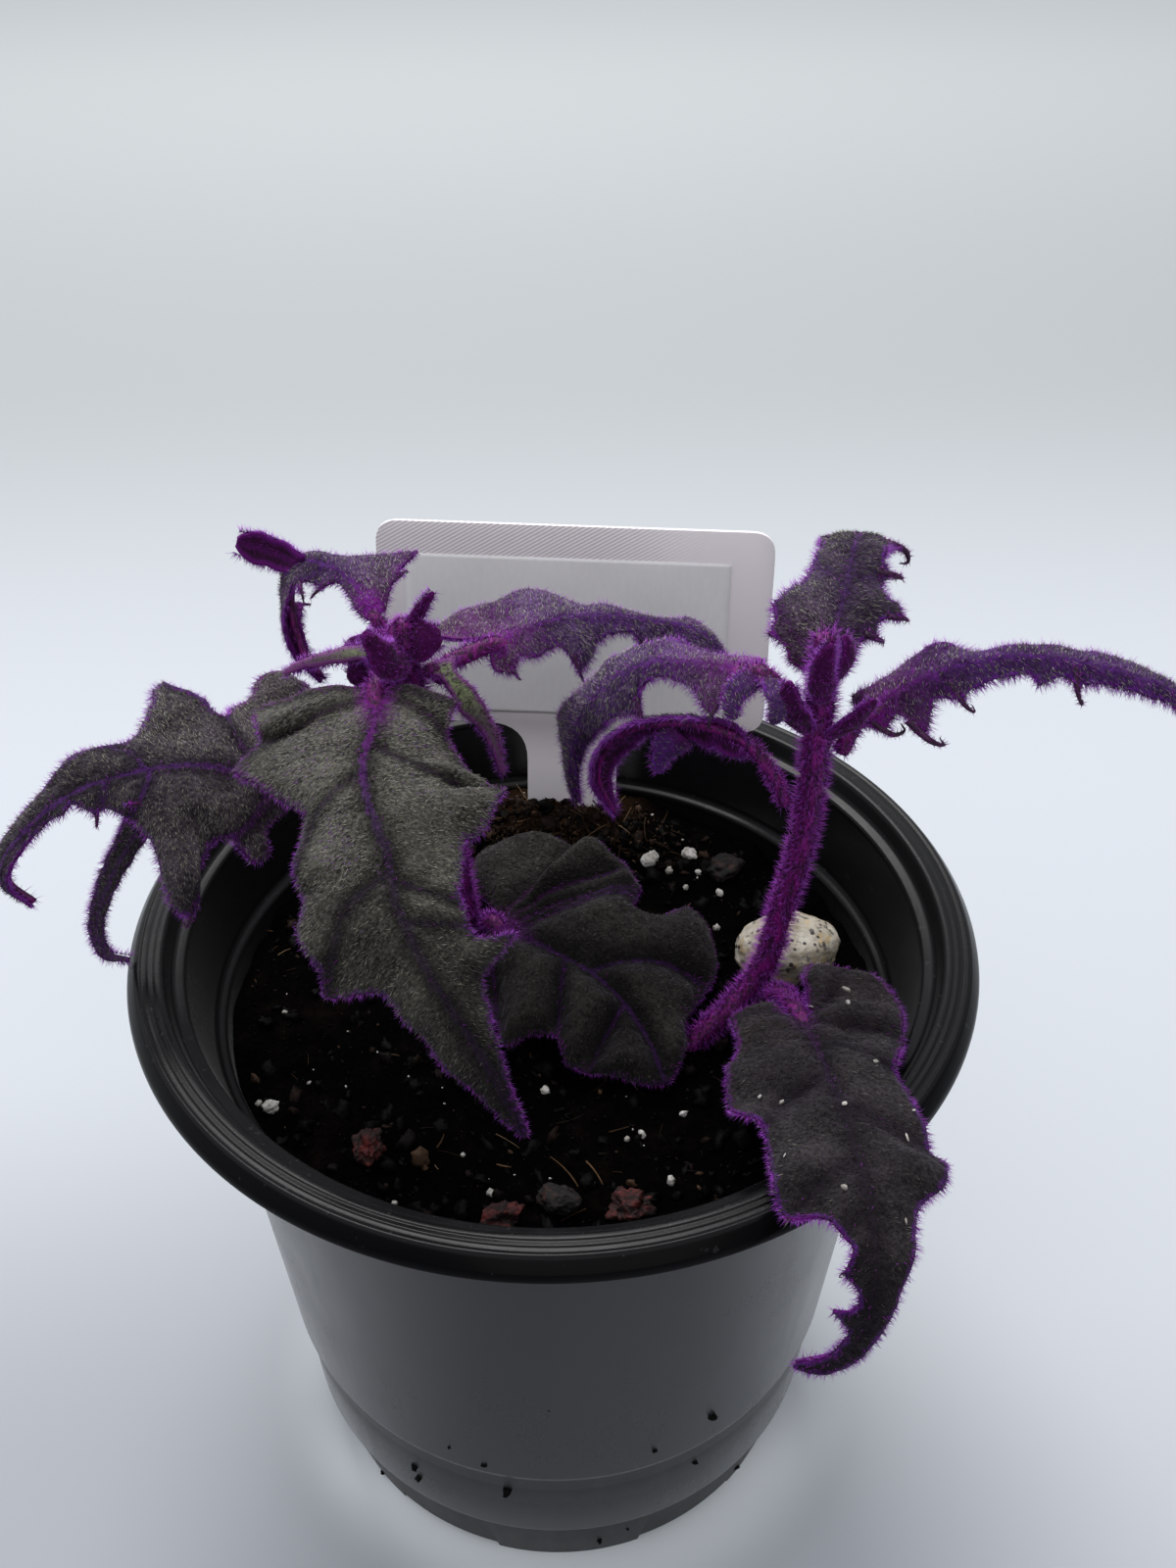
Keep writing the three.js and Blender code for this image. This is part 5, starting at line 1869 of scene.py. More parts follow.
    def relief(self, flat: Array, vein: Array, rim: Array) -> Array:
        """How high the surface stands over its smooth form.

        Args:
            flat: places along and across the midrib.
            vein: their distance to the nearest vein.
            rim: their distance to the margin.

        Returns:
            A height a place.
        """
        leaf = self.leaf
        seed = leaf.midrib[0][0] * 0.37
        puff = leaf.quilt * (1 - np.exp(-((vein / 1.7) ** 2))) * np.minimum(1, rim / 1.5)
        small = np.array([noise.fractal(Vector((a * 0.5, c * 0.5, seed)), 0.9, 2, 3) for a, c in flat])
        along, across = flat.T
        broad = ripple(along * 0.16, across * 0.2, seed + 5)
        margin = ripple(along * 0.3, np.sign(across) * 7, seed)
        away = np.minimum(1, np.abs(across) / 4)
        return (puff + 0.2 * small * np.minimum(1, rim / 1.2) + leaf.wave * 1.3 * broad * away
                + (leaf.wave * 1.2 * margin - 0.3) * np.exp(-rim / 1.6) * away)

    def sheet(self) -> Shape:
        """The blade as a sheet with its relief, painted for its finish.

        Returns:
            The sheet.
        """
        sheet = cut_sheet(self.edge, self.STEP)
        flat = spots_of(sheet)[:, :2]
        vein = distance_to(self.lines, flat)
        rim = distance_to([self.edge], flat)
        move_spots(sheet, self.carry(flat, self.relief(flat, vein, rim)))
        bmesh.ops.reverse_faces(sheet, faces=sheet.faces)
        # The "light" layer holds painted shade: darker towards the tip, patches of painted shade and light
        # standing in for folds, and painted shade along the veins.
        share = np.clip(flat[:, 0] / self.route.length, 0, 1)
        patch = ripple(flat[:, 0] * 0.13, flat[:, 1] * 0.13, self.leaf.midrib[0][0])
        light = self.leaf.light * (1 - self.leaf.fade * share) * (1 + 0.45 * patch)
        deep = min(1.0, self.leaf.quilt)
        light *= 1 - (self.VEIN_SHADE + 0.35 * deep) * np.exp(-((vein / (0.8 + 0.8 * deep)) ** 2))
        paint(sheet, vein=vein, rim=rim, along=share, light=light, middle=distance_to([self.middle], flat),
              root=np.hypot(flat[:, 0], flat[:, 1]), half=np.sign(flat[:, 1]))
        return sheet

    def hooks(self) -> list[tuple[Route, Array]]:
        """The curled tips of the teeth, from inside the blade outwards and round, with their radii.

        Returns:
            A route and the radii along it for each tip.
        """
        found = []
        draw = np.random.default_rng(len(self.edge))
        for side, size in zip(Side, self.leaf.hook):
            for arc in self.arcs(side)[:-1]:
                along, across = arc[-1][:2]
                share = draw.uniform(0.6, 1.3)
                reach = size * share
                if abs(across) < self.LEAST_TOOTH or share < 0.8 or not size:
                    continue
                flat = np.array([(along, across), (along - 0.6, across - side.value * 1.6)], float)
                height = self.relief(flat, np.zeros(2), np.array([0.0, 1.6]))
                tip, inside = self.carry(flat, height)
                _, way, _, upper = (v[0] for v in self.axes(np.array([along])))
                out = unit(tip - inside)
                turn = unit(-upper + 0.5 * way + 0.3 * draw.normal(size=3))
                bow = tip + out * reach * 0.35 + turn * reach * 0.1
                low = bow + (out * 0.25 + turn) * reach * 0.4
                end = low + (turn * 0.5 - out) * reach * 0.35
                found.append((Route([inside, tip, bow, low, end]), self.HOOK * reach + 0.03))
        return found

    def rib(self) -> Route:
        """The middle line of the petiole and of the midrib under the blade.

        Returns:
            The line, from the stem to the leaf's tip.
        """
        places, _, _, upper = self.axes(np.linspace(0, self.route.length + 0.3, 12)[1:])
        sink = np.linspace(self.leaf.rib[0] * 1.15, self.leaf.rib[1], 11)[:, None]
        return Route([*self.leaf.petiole, self.leaf.midrib[0], *(places - sink * upper)])

    def fringe(self, random: Random, density: float) -> tuple[Array, Array, Array]:
        """Draws places along the edge of the blade.

        Args:
            random: the source of the draws.
            density: hairs to a millimetre.

        Returns:
            The places, the way out of the edge, and the way towards the leaf's tip.
        """
        line = np.vstack([self.edge, self.edge[:1]])
        steps = lengths_along(line)
        marks = random.random(int(steps[-1] * density)) * steps[-1]
        flat = along_line(marks, steps, line)
        way = unit(along_line(marks + 0.3, steps, line) - flat)
        outside = np.sign((line[:-1, 0] * line[1:, 1] - line[1:, 0] * line[:-1, 1]).sum())
        turned = way[:, ::-1] * (1, -1)
        height = self.relief(flat, distance_to(self.lines, flat), np.zeros(len(flat)))
        here = self.carry(flat, height)
        out = unit(self.carry(flat + turned * 0.2 * outside, height) - here)
        return here, out, unit(self.route.at(flat[:, 0])[1])


@dataclass
class Foliage:
    """Everything that grows: stems, leaves and the growing tip, with their hairs."""

    stems: dict[str, tuple[Points, Sequence[float]]]
    leaves: Sequence[Leaf]
    bud: tuple[Points, Sequence[float]]
    tips: Sequence[Strap]
    shoot: Sequence[Strap]
    strap_step: float = 0.4
    felt_density: float = 12.0
    fringe_density: float = 25.0
    under_density: float = 2.5
    vein_density: float = 9.0
    stem_density: float = 12.0
    slim: float = 0.7
    ground: float = 80.5

    felt: HairStyle = HairStyle((0.35, 0.72), 0.045, 0.35, 0.25, (0.25, 0.07))
    vein: HairStyle = HairStyle((0.35, 0.7), 0.04, 0.5, 0.3, (0.8, 0.1))
    edge: HairStyle = HairStyle((0.5, 1.5), 0.042, 0.45, 0.3, (0.64, 0.1))
    below: HairStyle = HairStyle((0.3, 0.8), 0.045, 0.5, 0.3, (0.93, 0.08))
    shaft: HairStyle = HairStyle((0.6, 1.7), 0.045, 0.3, 0.15, (0.79, 0.12))
    tip: HairStyle = HairStyle((0.5, 1.3), 0.045, 0.3, 0.15, (0.86, 0.1))

    def build(self) -> None:
        """Makes the plants."""
        self.hair = HairFinish("plant_hair").build()
        self.skin = StemFinish("stem_skin").build()
        self.claw = StemFinish("claw_skin", (0.012, 0.002, 0.012), (0.06, 0.012, 0.055)).build()
        self.under = VelvetUnder("leaf_underside").build()
        bud_leaf = VelvetTop("bud_leaf", (0.010, 0.0004, 0.008), (0.06, 0.002, 0.05), (0.10, 0.003, 0.09))
        self.tops = {Kind.FELT: VelvetTop("leaf_top").build(), Kind.GREEN: YoungFinish("young_leaf").build(),
                     Kind.BUD: bud_leaf.build()}
        for name, (points, radii) in self.stems.items():
            self.stem(name, points, radii)
        for number, leaf in enumerate(self.leaves):
            self.leaf(leaf, number)
        self.apex()
        self.sprout("shoot", HairCoat(301), self.shoot, [("leaves", slice(None), Kind.BUD)])

    def stem(self, name: str, points: Points, radii: Sequence[float]) -> None:
        """Makes one stem and its hairs.

        Args:
            name: the stem's node.
            points: its route.
            radii: the radius at each point.
        """
        shape = tube(Route(points), np.array(radii) * self.slim, 28, 0.5, 0.10)
        skin = Skin.of(shape)
        coat = HairCoat(len(name) + int(points[0][0]) ** 2)
        roots, out, _ = skin.scatter(coat.random, self.stem_density)
        keep = roots[:, 2] > self.ground
        up = np.tile((0.0, 0.0, 1.0), (keep.sum(), 1))
        coat.grow(roots[keep], out[keep], self.shaft, up)
        add_piece(name + "_skin", shape, [self.skin], [name])
        coat.piece(name + "_hairs", Slot.STEM, self.hair)

    def leaf(self, leaf: Leaf, number: int) -> None:
        """Makes one leaf and its hairs.

        Args:
            leaf: the leaf's sizes.
            number: sets its draws.
        """
        blade = Blade(leaf)
        lobes = [strap_sheet(lobe, self.strap_step) for lobe in leaf.lobes]
        for lobe in lobes:
            # The lobes get the painted shade of the leaf's tip.
            paint(lobe, light=leaf.light * (1 - leaf.fade), root=20.0)
        whole = joined([blade.sheet(), *lobes])
        paint(whole, glow=leaf.glow, bloom=leaf.bloom, core=leaf.core, brim=leaf.fringe**2)
        rib_route = blade.rib()
        rib = tube(rib_route, np.linspace(leaf.rib[0], leaf.rib[1] * 0.55, 12), 12, 0.6, 0.08)
        hooks = joined([bmesh.new(), *(tube(route, radii, 8, 0.3) for route, radii in blade.hooks())])
        skin = Skin.of(whole)
        stalk = Skin.of(rib)
        coat = HairCoat(100 + number)
        self.cover(coat, skin, leaf)
        tufts = HairCoat(200 + number)
        here, out, tip = blade.fringe(tufts.random, self.fringe_density * leaf.fringe)
        tufts.grow(here, out, self.edge, tip, 0.3 + 0.7 * leaf.fringe)
        for lobe in leaf.lobes:
            self.fringe_strap(tufts, lobe)
        start, ahead = np.array(leaf.midrib[0]), blade.route.slopes[0]
        under = (stalk.points @ ahead >= start @ ahead) & (np.linalg.norm(stalk.points - start, axis=1) > 2)
        roots, out, _ = stalk.scatter(tufts.random, self.stem_density, np.where(under, 0.25, 1.0))
        tufts.grow(roots, out, self.shaft, share=0.75)
        if len(hooks.verts):
            roots, out, _ = Skin.of(hooks).scatter(tufts.random, self.stem_density)
            tufts.grow(roots, out, self.below)
        for face in hooks.faces:
            face.material_index = 1
        rib = joined([rib, hooks])
        if leaf.flecks:
            self.flecks(leaf, skin)
        finishes = [self.tops[leaf.kind], self.under]
        piece = add_piece(leaf.name + "_blade", whole, finishes, [leaf.name])
        thicken(piece, Blade.THICKNESS, 1)
        add_piece(leaf.name + "_rib", rib, [self.skin, self.claw])
        coat.piece(leaf.name + "_felt", Slot.LEAF, self.hair)
        tufts.piece(leaf.name + "_fringe", Slot.LEAF, self.hair)

    def cover(self, coat: HairCoat, skin: Skin, leaf: Leaf) -> None:
        """Grows the felt on both sides of a blade, and the violet hairs on its veins.

        Args:
            coat: the coat that the hairs go to.
            skin: the blade.
            leaf: the leaf's sizes.
        """
        lift = Blade.THICKNESS * 0.45
        vein, rim, along, middle = (skin.fields[name] for name in ("vein", "rim", "along", "middle"))
        on_veins = 0.5 * leaf.glow * np.exp(-((vein / 0.35) ** 2))
        core_width = 0.5 + 1.8 * np.exp(-12 * along)
        on_veins = on_veins + leaf.core * np.clip(1 - 2 * along, 0, 1) * np.exp(-((middle / core_width) ** 2))
        tip = unit(np.array(leaf.midrib[-1], float) - np.array(leaf.midrib[0], float))
        # The felt is denser, and its tone paler, where the leaf's light is higher, so its hairs carry the
        # leaf's painted shade.
        for density, weight, style, face in (
            (self.felt_density, min(1.0, 0.3 + leaf.light * 0.8), self.felt, 1),
            (self.vein_density, on_veins, self.vein, 1),
            (self.vein_density, 0.7 * np.exp(-((rim / 0.5) ** 2)), self.vein, 1),
            (self.under_density, 0.9 + 2.5 * leaf.bloom**2, self.below, -1),
        ):
            roots, up, local = skin.scatter(coat.random, density, weight)
            flat = unit(np.cross(tip, up)) * np.sign(local["half"])[:, None]
            lean = unit(tip * 0.45 + flat)
            tone = None
            if style is self.felt:
                tone = np.minimum(0.3 * local["light"], 0.38)
                tone = tone + leaf.bloom * coat.random.uniform(0, 0.6, len(roots))
            coat.grow(roots + up * lift * face, up * face * 0.45 + lean * 0.85, style, lean, tone=tone)

    def flecks(self, leaf: Leaf, skin: Skin) -> None:
        """Strews pale bits of grit over a leaf.

        Args:
            leaf: the leaf.
            skin: its blade.
        """
        random = np.random.default_rng(leaf.flecks)
        roots, up, _ = skin.scatter(random, 0.5)
        roots, up = roots[:leaf.flecks], up[:leaf.flecks]
        swarm = Swarm(lump((1, 1, 1), 0.6, 5.3, 1))
        size = random.uniform(0.2, 0.36, (len(roots), 1))
        size = size * random.uniform((1, 0.6, 0.25), (2.4, 1.3, 0.5), (len(roots), 3))
        swarm.add(roots + up * 0.5, tumbled(random, size))
        swarm.piece(leaf.name + "_flecks", Slot.PERLITE, PerliteFinish("flecks").build())

    def fringe_strap(self, coat: HairCoat, strap: Strap) -> None:
        """Grows a fringe along both edges of a narrow leaf.

        Args:
            coat: the coat that the hairs go to.
            strap: the narrow leaf.
        """
        route = Route(strap.route)
        count = int(route.length * self.fringe_density)
        for side in Side:
            share = coat.random.random(count)
            place, way = route.at(share * route.length)
            across = unit(np.cross(way, np.array(strap.facing, float)))
            width = np.interp(share, np.linspace(0, 1, len(strap.widths)), strap.widths)
            edge = place + across * (side.value * width / 2 * 0.95)[:, None]
            coat.grow(edge, across * side.value, self.edge, way, 0.8)

    def sprout(self, name: str, tufts: HairCoat, straps: Sequence[Strap],
               parts: Sequence[tuple[str, slice, Kind]]) -> None:
        """Makes small young leaves with hairs all over.

        Args:
            name: begins the names of their pieces.
            tufts: the coat that their hairs go to.
            straps: the leaves.
            parts: for each piece the end of its name, its leaves and their kind.
        """
        sheets = [strap_sheet(strap, self.strap_step) for strap in straps]
        for strap, sheet in zip(straps, sheets):
            self.fringe_strap(tufts, strap)
            roots, up, _ = Skin.of(sheet).scatter(tufts.random, 5.0)
            tufts.grow(roots + up * 0.2, up, self.tip, share=0.7)
            tufts.grow(roots - up * 0.2, -up, self.below, share=0.7)
            paint(sheet, glow=0.4, light=0.6, bloom=0.35, root=20.0, core=0.5, brim=1.0)
        for end, chosen, kind in parts:
            finishes = [self.tops[kind], self.under]
            piece = add_piece(f"{name}_{end}", joined(sheets[chosen]), finishes)
            thicken(piece, Blade.THICKNESS, 1)
        tufts.piece(name + "_hairs", Slot.YOUNG, self.hair)

    def apex(self) -> None:
        """Makes the growing tip of the left stem: its bud and the small leaves that unfold from it."""
        bud = tube(Route(self.bud[0]), self.bud[1], 20, 0.3, 0.2)
        tufts = HairCoat(300)
        roots, out, _ = Skin.of(bud).scatter(tufts.random, self.stem_density * 1.6)
        tufts.grow(roots, out, self.tip)
        add_piece("apex_bud", bud, [self.skin], ["apex_a"])
        self.sprout("apex", tufts, self.tips, (
            ("leaves", slice(1, -1), Kind.BUD), ("slim_leaf", slice(-1, None), Kind.GREEN),
            ("green_leaf", slice(1), Kind.BUD),
        ))


# Routes of the two stems, from inside the soil to the tip, with the radius at each point
STEMS = {
    "stem_a": (((-11, 9.6, 72), (-11.3, 9, 82), (-13, 8, 100), (-15, 6.6, 116), (-16.7, 5.4, 131)),
               (1.9, 1.9, 1.9, 1.9, 1.8)),
    "stem_b": (((11, -13, 73), (16.9, -10.2, 80), (22, -8.6, 84.5), (26.2, -7.2, 90.5), (28, -7, 101),
                (29.6, -7, 112), (29.9, -7, 124), (29.7, -7, 134), (29.5, -7, 140)),
               (1.7, 1.8, 1.9, 2, 1.9, 1.9, 2, 2.3, 1.5)),
}

LEAVES = (
    Leaf(
        "leaf_a1_front",
        petiole=((-18, 3.2, 128.4), (-19, 1.7, 129.8)),
        midrib=((-20, 0, 130.3), (-20, -5, 129), (-21, -10.5, 127.5), (-20.3, -16, 126), (-18, -22, 123),
         (-17, -26.5, 120), (-14, -31.5, 115.5), (-9, -35.5, 107.5), (-4.5, -38, 97)),
        facing=((0, -0.25, 1), (0, -1, 0.45)),
        left=(((0, 1.5), (-1, 4.5), (0, 7), (2, 9)), ((4.5, 8), (6, 9.2), (8, 12), (11, 13.5),
         (19.5, 14.6)), ((23, 10.6), (23.6, 8), (26.2, 7), (31.3, 6.4), (36, 6), (38.5, 9.8)),
         ((40, 6.2), (41.5, 4), (46.5, 2.2), (52.3, 1), (58.5, 0.4))),
        right=(((0, 1.5), (-0.5, 4.5), (-1.3, 10.7), (-0.9, 14.4), (3, 13.4), (7.5, 13.4), (10.4, 15)),
         ((11.5, 12.2), (13.3, 9), (14.8, 7.2), (17.7, 8.5), (20.4, 10), (26.7, 9.8), (28.6, 11),
         (31.5, 10.2), (34, 11.4, 0.8)), ((35, 8.9), (36, 5.7), (38, 4.9), (42, 4.6), (48, 4), (53, 2.3),
         (58.5, 0.4))),
        fold=(8, 8), rib=(1.2, 0.65), ruffle=0.7, quilt=0.45, wave=0.8, glow=0.1, light=1.3, fade=0.75,
        fringe=0.6, hook=(1, 1),
    ),
    Leaf(
        "leaf_a2_left",
        petiole=((-17.6, 6.5, 117.5), (-23, 6, 116)),
        midrib=((-29, 5, 115), (-33.5, 4, 115), (-38, 2, 117), (-42.5, 1, 119), (-49.5, -1, 119.5),
         (-54.5, -3, 119), (-58, -5, 118), (-61.5, -7, 115.5), (-63.6, -9, 113.3), (-64, -10, 110.5),
         (-61.3, -11, 108.4)),
        facing=((0, -0.45, 0.9), (0, -0.5, 0.86), (-0.8, -0.5, -0.2)),
        left=(((2.5, 3), (4.5, 4.5), (6.4, 6.5), (6.2, 9.3)), ((7.6, 10.4), (8.8, 9.6), (10, 8),
         (11.2, 8.9), (11.8, 11.5), (13.8, 14.2), (18, 17.2)), ((20.5, 16), (21, 13), (21.3, 9.2),
         (22.4, 7), (23.6, 5)), ((26.5, 3.1), (27.8, 3.4)), ((29.8, 1.1), (31.4, 1.5)), ((33.6, 1),
         (36.5, 1.2), (39.8, 1.6), (42.1, 1.4), (46.6, 0.4))),
        right=(((-0.5, 6), (-0.4, 11), (-0.9, 14.9)), ((2.4, 16.6), (4.2, 16), (5.8, 12), (12, 7.8),
         (13.8, 9.6), (15, 11.4), (17, 13.3)), ((18.2, 11.6), (18.5, 9.5), (19.6, 6.8), (21.2, 4.8),
         (24, 4.7)), ((27, 4.4), (31, 3), (36, 2.6), (40, 2.2), (43.5, 1.2), (46.6, 0.4))),
        lobes=(
            Strap(((-47.6, -3.4, 117.6), (-48.6, -2.4, 114.8), (-50.4, -1.4, 111.2), (-52.2, -2, 108.5),
                  (-54.4, -3.5, 105), (-56.5, -5, 99.5), (-55.8, -6, 95.6), (-52.8, -6.5, 95)),
                  (4.6, 4, 3.2, 2.8, 2.2, 1.8, 1.4, 0.7), (0.5, -0.8, 0.3)),
        ),
        fold=(6, 6), droop=0.01, ruffle=0.7, quilt=0.4, glow=0.5, light=0.8, bloom=0.1, fringe=0.75,
        hook=(1.8, 1.4),
    ),
    Leaf(
        "leaf_a3_back_left",
        petiole=((-18.6, 8, 129.4), (-19.6, 8.6, 131.6)),
        midrib=((-20, 7.8, 134), (-21.5, 10, 136), (-23.6, 13, 137), (-26.6, 15.1, 137.6),
         (-29.4, 15.9, 137.5), (-31.3, 15.4, 135.5), (-31.7, 14.2, 132), (-30.5, 13, 127),
         (-28.5, 12, 124.4)),
        facing=((0.1, -0.6, 0.8), (-0.3, -0.1, 0.95), (-0.8, 0.6, 0)),
        left=(((0.8, 1), (2.5, 1.5), (5.6, 1.3), (8, 1.2), (9.5, 3.1)), ((10.4, 2.6), (12.2, 2.8),
         (14.2, 4.8)), ((15.8, 2.4), (18.5, 2), (22, 1.8), (26.5, 1.1), (30.4, 0.4))),
        right=(((1, 1.5), (2.2, 2.5), (3.4, 3.6), (4.2, 5.6)), ((4.9, 5.4), (5.6, 7.4), (6.2, 8.7)),
         ((7.2, 5.4), (9, 3), (11, 2), (14.5, 2.3), (16.4, 3.2)), ((18, 2.6), (20, 3), (21.2, 4.6)),
         ((22.6, 2.2), (26, 1.3), (30.4, 0.4))),
        lobes=(
            Strap(((-29.3, 15.6, 137.3), (-32, 17, 138), (-34.3, 17.5, 138.7), (-37, 18, 139.4)),
                  (2.6, 3.4, 3.8, 2.6), (0.1, 0.9, -0.3)),
        ),
        fold=(4, 4), rib=(0.9, 0.65), droop=0.01, quilt=0.2, wave=0.4, core=0.9, light=0.8, bloom=0.4,
        fringe=0.75, hook=(1.4, 1.4),
    ),
    Leaf(
        "leaf_a4_right",
        petiole=((-13.5, 7.3, 126.4), (-12.2, 7.1, 128.4), (-10.2, 7.4, 129.3)),
        midrib=((-7.3, 8.4, 130), (-4.5, 10.2, 130.3), (-0.6, 13, 130.3), (3, 15, 129.8), (8, 17, 128.5),
         (13, 18, 127.1), (17.1, 18, 126.3), (20.2, 18, 124.5), (22.8, 17, 121.8)),
        facing=((0, -0.1, 1), (0.6, 0, 0.8)),
        left=(((0.6, 1.5), (-2.4, 5), (-4, 8), (-3.5, 12)), ((0, 10.5), (4.4, 8.2), (8, 9),
         (11, 9.6)), ((12.6, 7.4), (13.8, 4.8), (15, 3.4), (19, 2.4)), ((22.6, 1.6), (26, 2),
         (28.4, 3.2)), ((30, 2.2), (31.8, 1.9), (35, 0.4))),
        right=(((-0.5, 1.4), (-0.6, 2.4), (1.6, 3.4)), ((3, 2.1), (4.6, 2.8), (7.6, 2.6), (9.4, 3),
         (11.4, 5.6)), ((14, 4.2), (15, 2.8), (16.3, 2.1), (20.7, 1.6), (22.2, 3.7)), ((25.5, 3),
         (29, 3.3)), ((32, 1.5), (35, 0.4))),
        fold=(8, 35), core=0.5, light=0.85, bloom=0.5, hook=(0.8, 1.6),
    ),
    Leaf(
        "leaf_a6_young",
        petiole=((-14.4, 3.5, 129.6), (-14.1, 3.4, 130.4)),
        midrib=((-13.7, 3.3, 130.5), (-12.4, 3, 129.8), (-10, 2, 127.6), (-8, 1, 124.4), (-6.8, 0, 121.6),
         (-6, -1, 118.4)),
        facing=((0, -0.4, 0.9), (0.3, -0.8, 0.5)),
        left=(((0.2, 0.9), (0.7, 1.4), (1.5, 3.1)), ((2.2, 1.2), (4.3, 1.1), (7, 1.1), (9.2, 0.9),
         (10.9, 1.1)), ((13, 0.6), (15.4, 0.4))),
        right=(((0.3, 0.9), (1.9, 0.8), (6, 1.7), (9, 1), (11, 0.7), (13.2, 0.5), (15.4, 0.4)),),
        fold=(5, 5), rib=(0.75, 0.65), droop=0.01, ruffle=0.1, quilt=0.1, wave=0.3, glow=0.2, core=0.2,
        light=0.5, fringe=0.6, hook=(0.6, 0.6), kind=Kind.GREEN,
    ),
    Leaf(
        "leaf_a7_low",
        petiole=((-9, 7.3, 86.6), (-8.6, 6.3, 87.8)),
        midrib=((-8, 5, 88.6), (-6, 3, 89), (-1, -0.5, 88.6), (4.6, -4.5, 87.8), (8.7, -8.5, 85.8),
         (11.5, -13, 83.4), (13, -17.5, 81.6)),
        facing=((0.1, -0.4, 0.9), (0.1, -0.2, 1)),
        left=(((0.6, 1.2), (-3, 2.4), (-7.5, 3.4), (-10.5, 6.4), (-10.8, 10.3), (-8.8, 14.1),
         (-5.9, 16.2), (-2.6, 17.6), (0, 18.3)), ((2, 18.6), (5.3, 19.4), (10, 18), (13.3, 16)),
         ((14, 12.6), (16.4, 14.2), (17.4, 18.6)), ((20.3, 17.8), (23, 15.4), (24.6, 12)),
         ((26.4, 6.6), (29.6, 4.2), (33.5, 0.4))),
        right=(((0.3, 2), (-0.9, 4.2), (3.2, 8.6), (9.3, 12)), ((11.7, 14), (14.2, 10.6), (19, 9.6)),
         ((23, 10.2), (28.4, 9)), ((30.4, 6), (32, 3.2), (33.5, 0.4))),
        fold=(2, 2), droop=0.006, ruffle=0.7, quilt=1.9, wave=0.6, glow=0.25, core=0.3, light=0.36,
        fringe=0.4, hook=(0, 0),
    ),
    Leaf(
        "leaf_b1_back",
        petiole=((30.8, -3.9, 129.4), (31, -3.7, 131.2)),
        midrib=((30.9, -3.4, 132.5), (32, 0, 135.5), (33.9, 5, 137.7), (35.5, 10, 139.2), (37.1, 15, 139.6),
         (38.7, 20, 137.5), (40, 24, 134)),
        facing=((0, -0.6, 0.8), (0, -0.3, 0.95), (0, 0.3, 0.95)),
        left=(((0.3, 2.6), (1.2, 4.2), (2.8, 5), (3.9, 7.1)), ((5.6, 6.6), (7.3, 7.4)), ((10.6, 6.1),
         (12, 4.8), (15.7, 4.2), (20, 3.9), (24.6, 4.4)), ((27, 2.6), (32.5, 0.4))),
        right=(((0.4, 2), (2, 2.6), (3.4, 2.8), (6, 3.4), (7.3, 5.2)), ((8.6, 4.6), (10, 5.2), (11, 7.3)),
         ((12.4, 6.6), (13.2, 4.7), (15, 4), (16.9, 4.7)), ((18.6, 3.6), (23, 3.9), (26, 4.8)), ((28, 2.4),
         (32.5, 0.4))),
        fold=(6, 6), rib=(0.9, 0.65), droop=0.008, ruffle=0.4, glow=0.4, core=0.35, light=0.65, bloom=0.22,
        hook=(0, 2.6),
    ),
    Leaf(
        "leaf_b2_right",
        petiole=((33, -6.3, 124), (33.8, -6.1, 126.2)),
        midrib=((34.8, -6, 128), (38.1, -6, 131.4), (41.8, -6, 133.8), (46.4, -6, 135.4), (52.2, -6, 136.1),
         (58.4, -6, 135.1), (64.5, -6, 133.4), (70.7, -6, 130.6), (75.8, -7, 126.7)),
        facing=((0, -0.15, 1), (0.3, -0.2, 0.9)),
        left=(((0, 1.5), (0.2, 4.4)), ((3.3, 3.2), (7.9, 4.3), (10.5, 4.8), (12.8, 4.6)),
         ((15.5, 2.2), (18, 2), (20.4, 2.2), (24.2, 3), (28, 2.8), (32.4, 3.8)), ((35.5, 3.2),
         (40.5, 1.6), (46, 0.4))),
        right=(((0.4, 1), (1.6, 2.3)), ((3, 1.7), (4.4, 2), (5.2, 4.2)), ((6.4, 3.9), (7.8, 2.9), (9, 2),
         (11.9, 2.8)), ((14.6, 2), (18.2, 1.6), (20.6, 1.5), (21.9, 2.4)), ((24.8, 1.4), (26.6, 2)),
         ((29.1, 1.4), (34, 1.3), (38, 1.1), (42.6, 0.9), (46, 0.4))),
        fold=(6, 38), rib=(1, 0.65), quilt=0.2, wave=0.5, light=0.45, bloom=0.5, hook=(0.8, 3),
    ),
    Leaf(
        "leaf_b3_upper_left",
        petiole=((25.9, -7, 130.8), (24.9, -7, 133.6)),
        midrib=((22.5, -6, 135), (19.4, -4, 134.3), (15.2, -2, 133.8), (11, 0, 132.4), (7.2, 2, 128.8),
         (4.4, 4, 124), (3.1, 6, 118.4), (2.5, 7, 112.4), (3, 8, 106.6)),
        facing=((0, -0.15, 1), (-0.1, -0.3, 0.95), (-0.7, -0.7, 0.1)),
        left=(((0.3, 1.3), (2.4, 1.7), (3.2, 2.6), (4.2, 4.6)), ((5.4, 4), (6.6, 2.6), (9, 1.8),
         (11.2, 1.4), (14, 1.9), (15.6, 2.8), (16.6, 4.4)), ((18.3, 3.6), (22.4, 2.8), (28.5, 1.9),
         (34.1, 1), (39, 0.6), (43, 0.4))),
        right=(((0, 1.4), (0.5, 2.4)), ((4.4, 2.2), (8.6, 3.3), (15.6, 4.8)), ((20.8, 4.6), (25, 3.7),
         (29.7, 3.9), (32.3, 4.7)), ((34.3, 2.9), (37.8, 1.9), (40.5, 1.1), (43, 0.4))),
        lobes=(
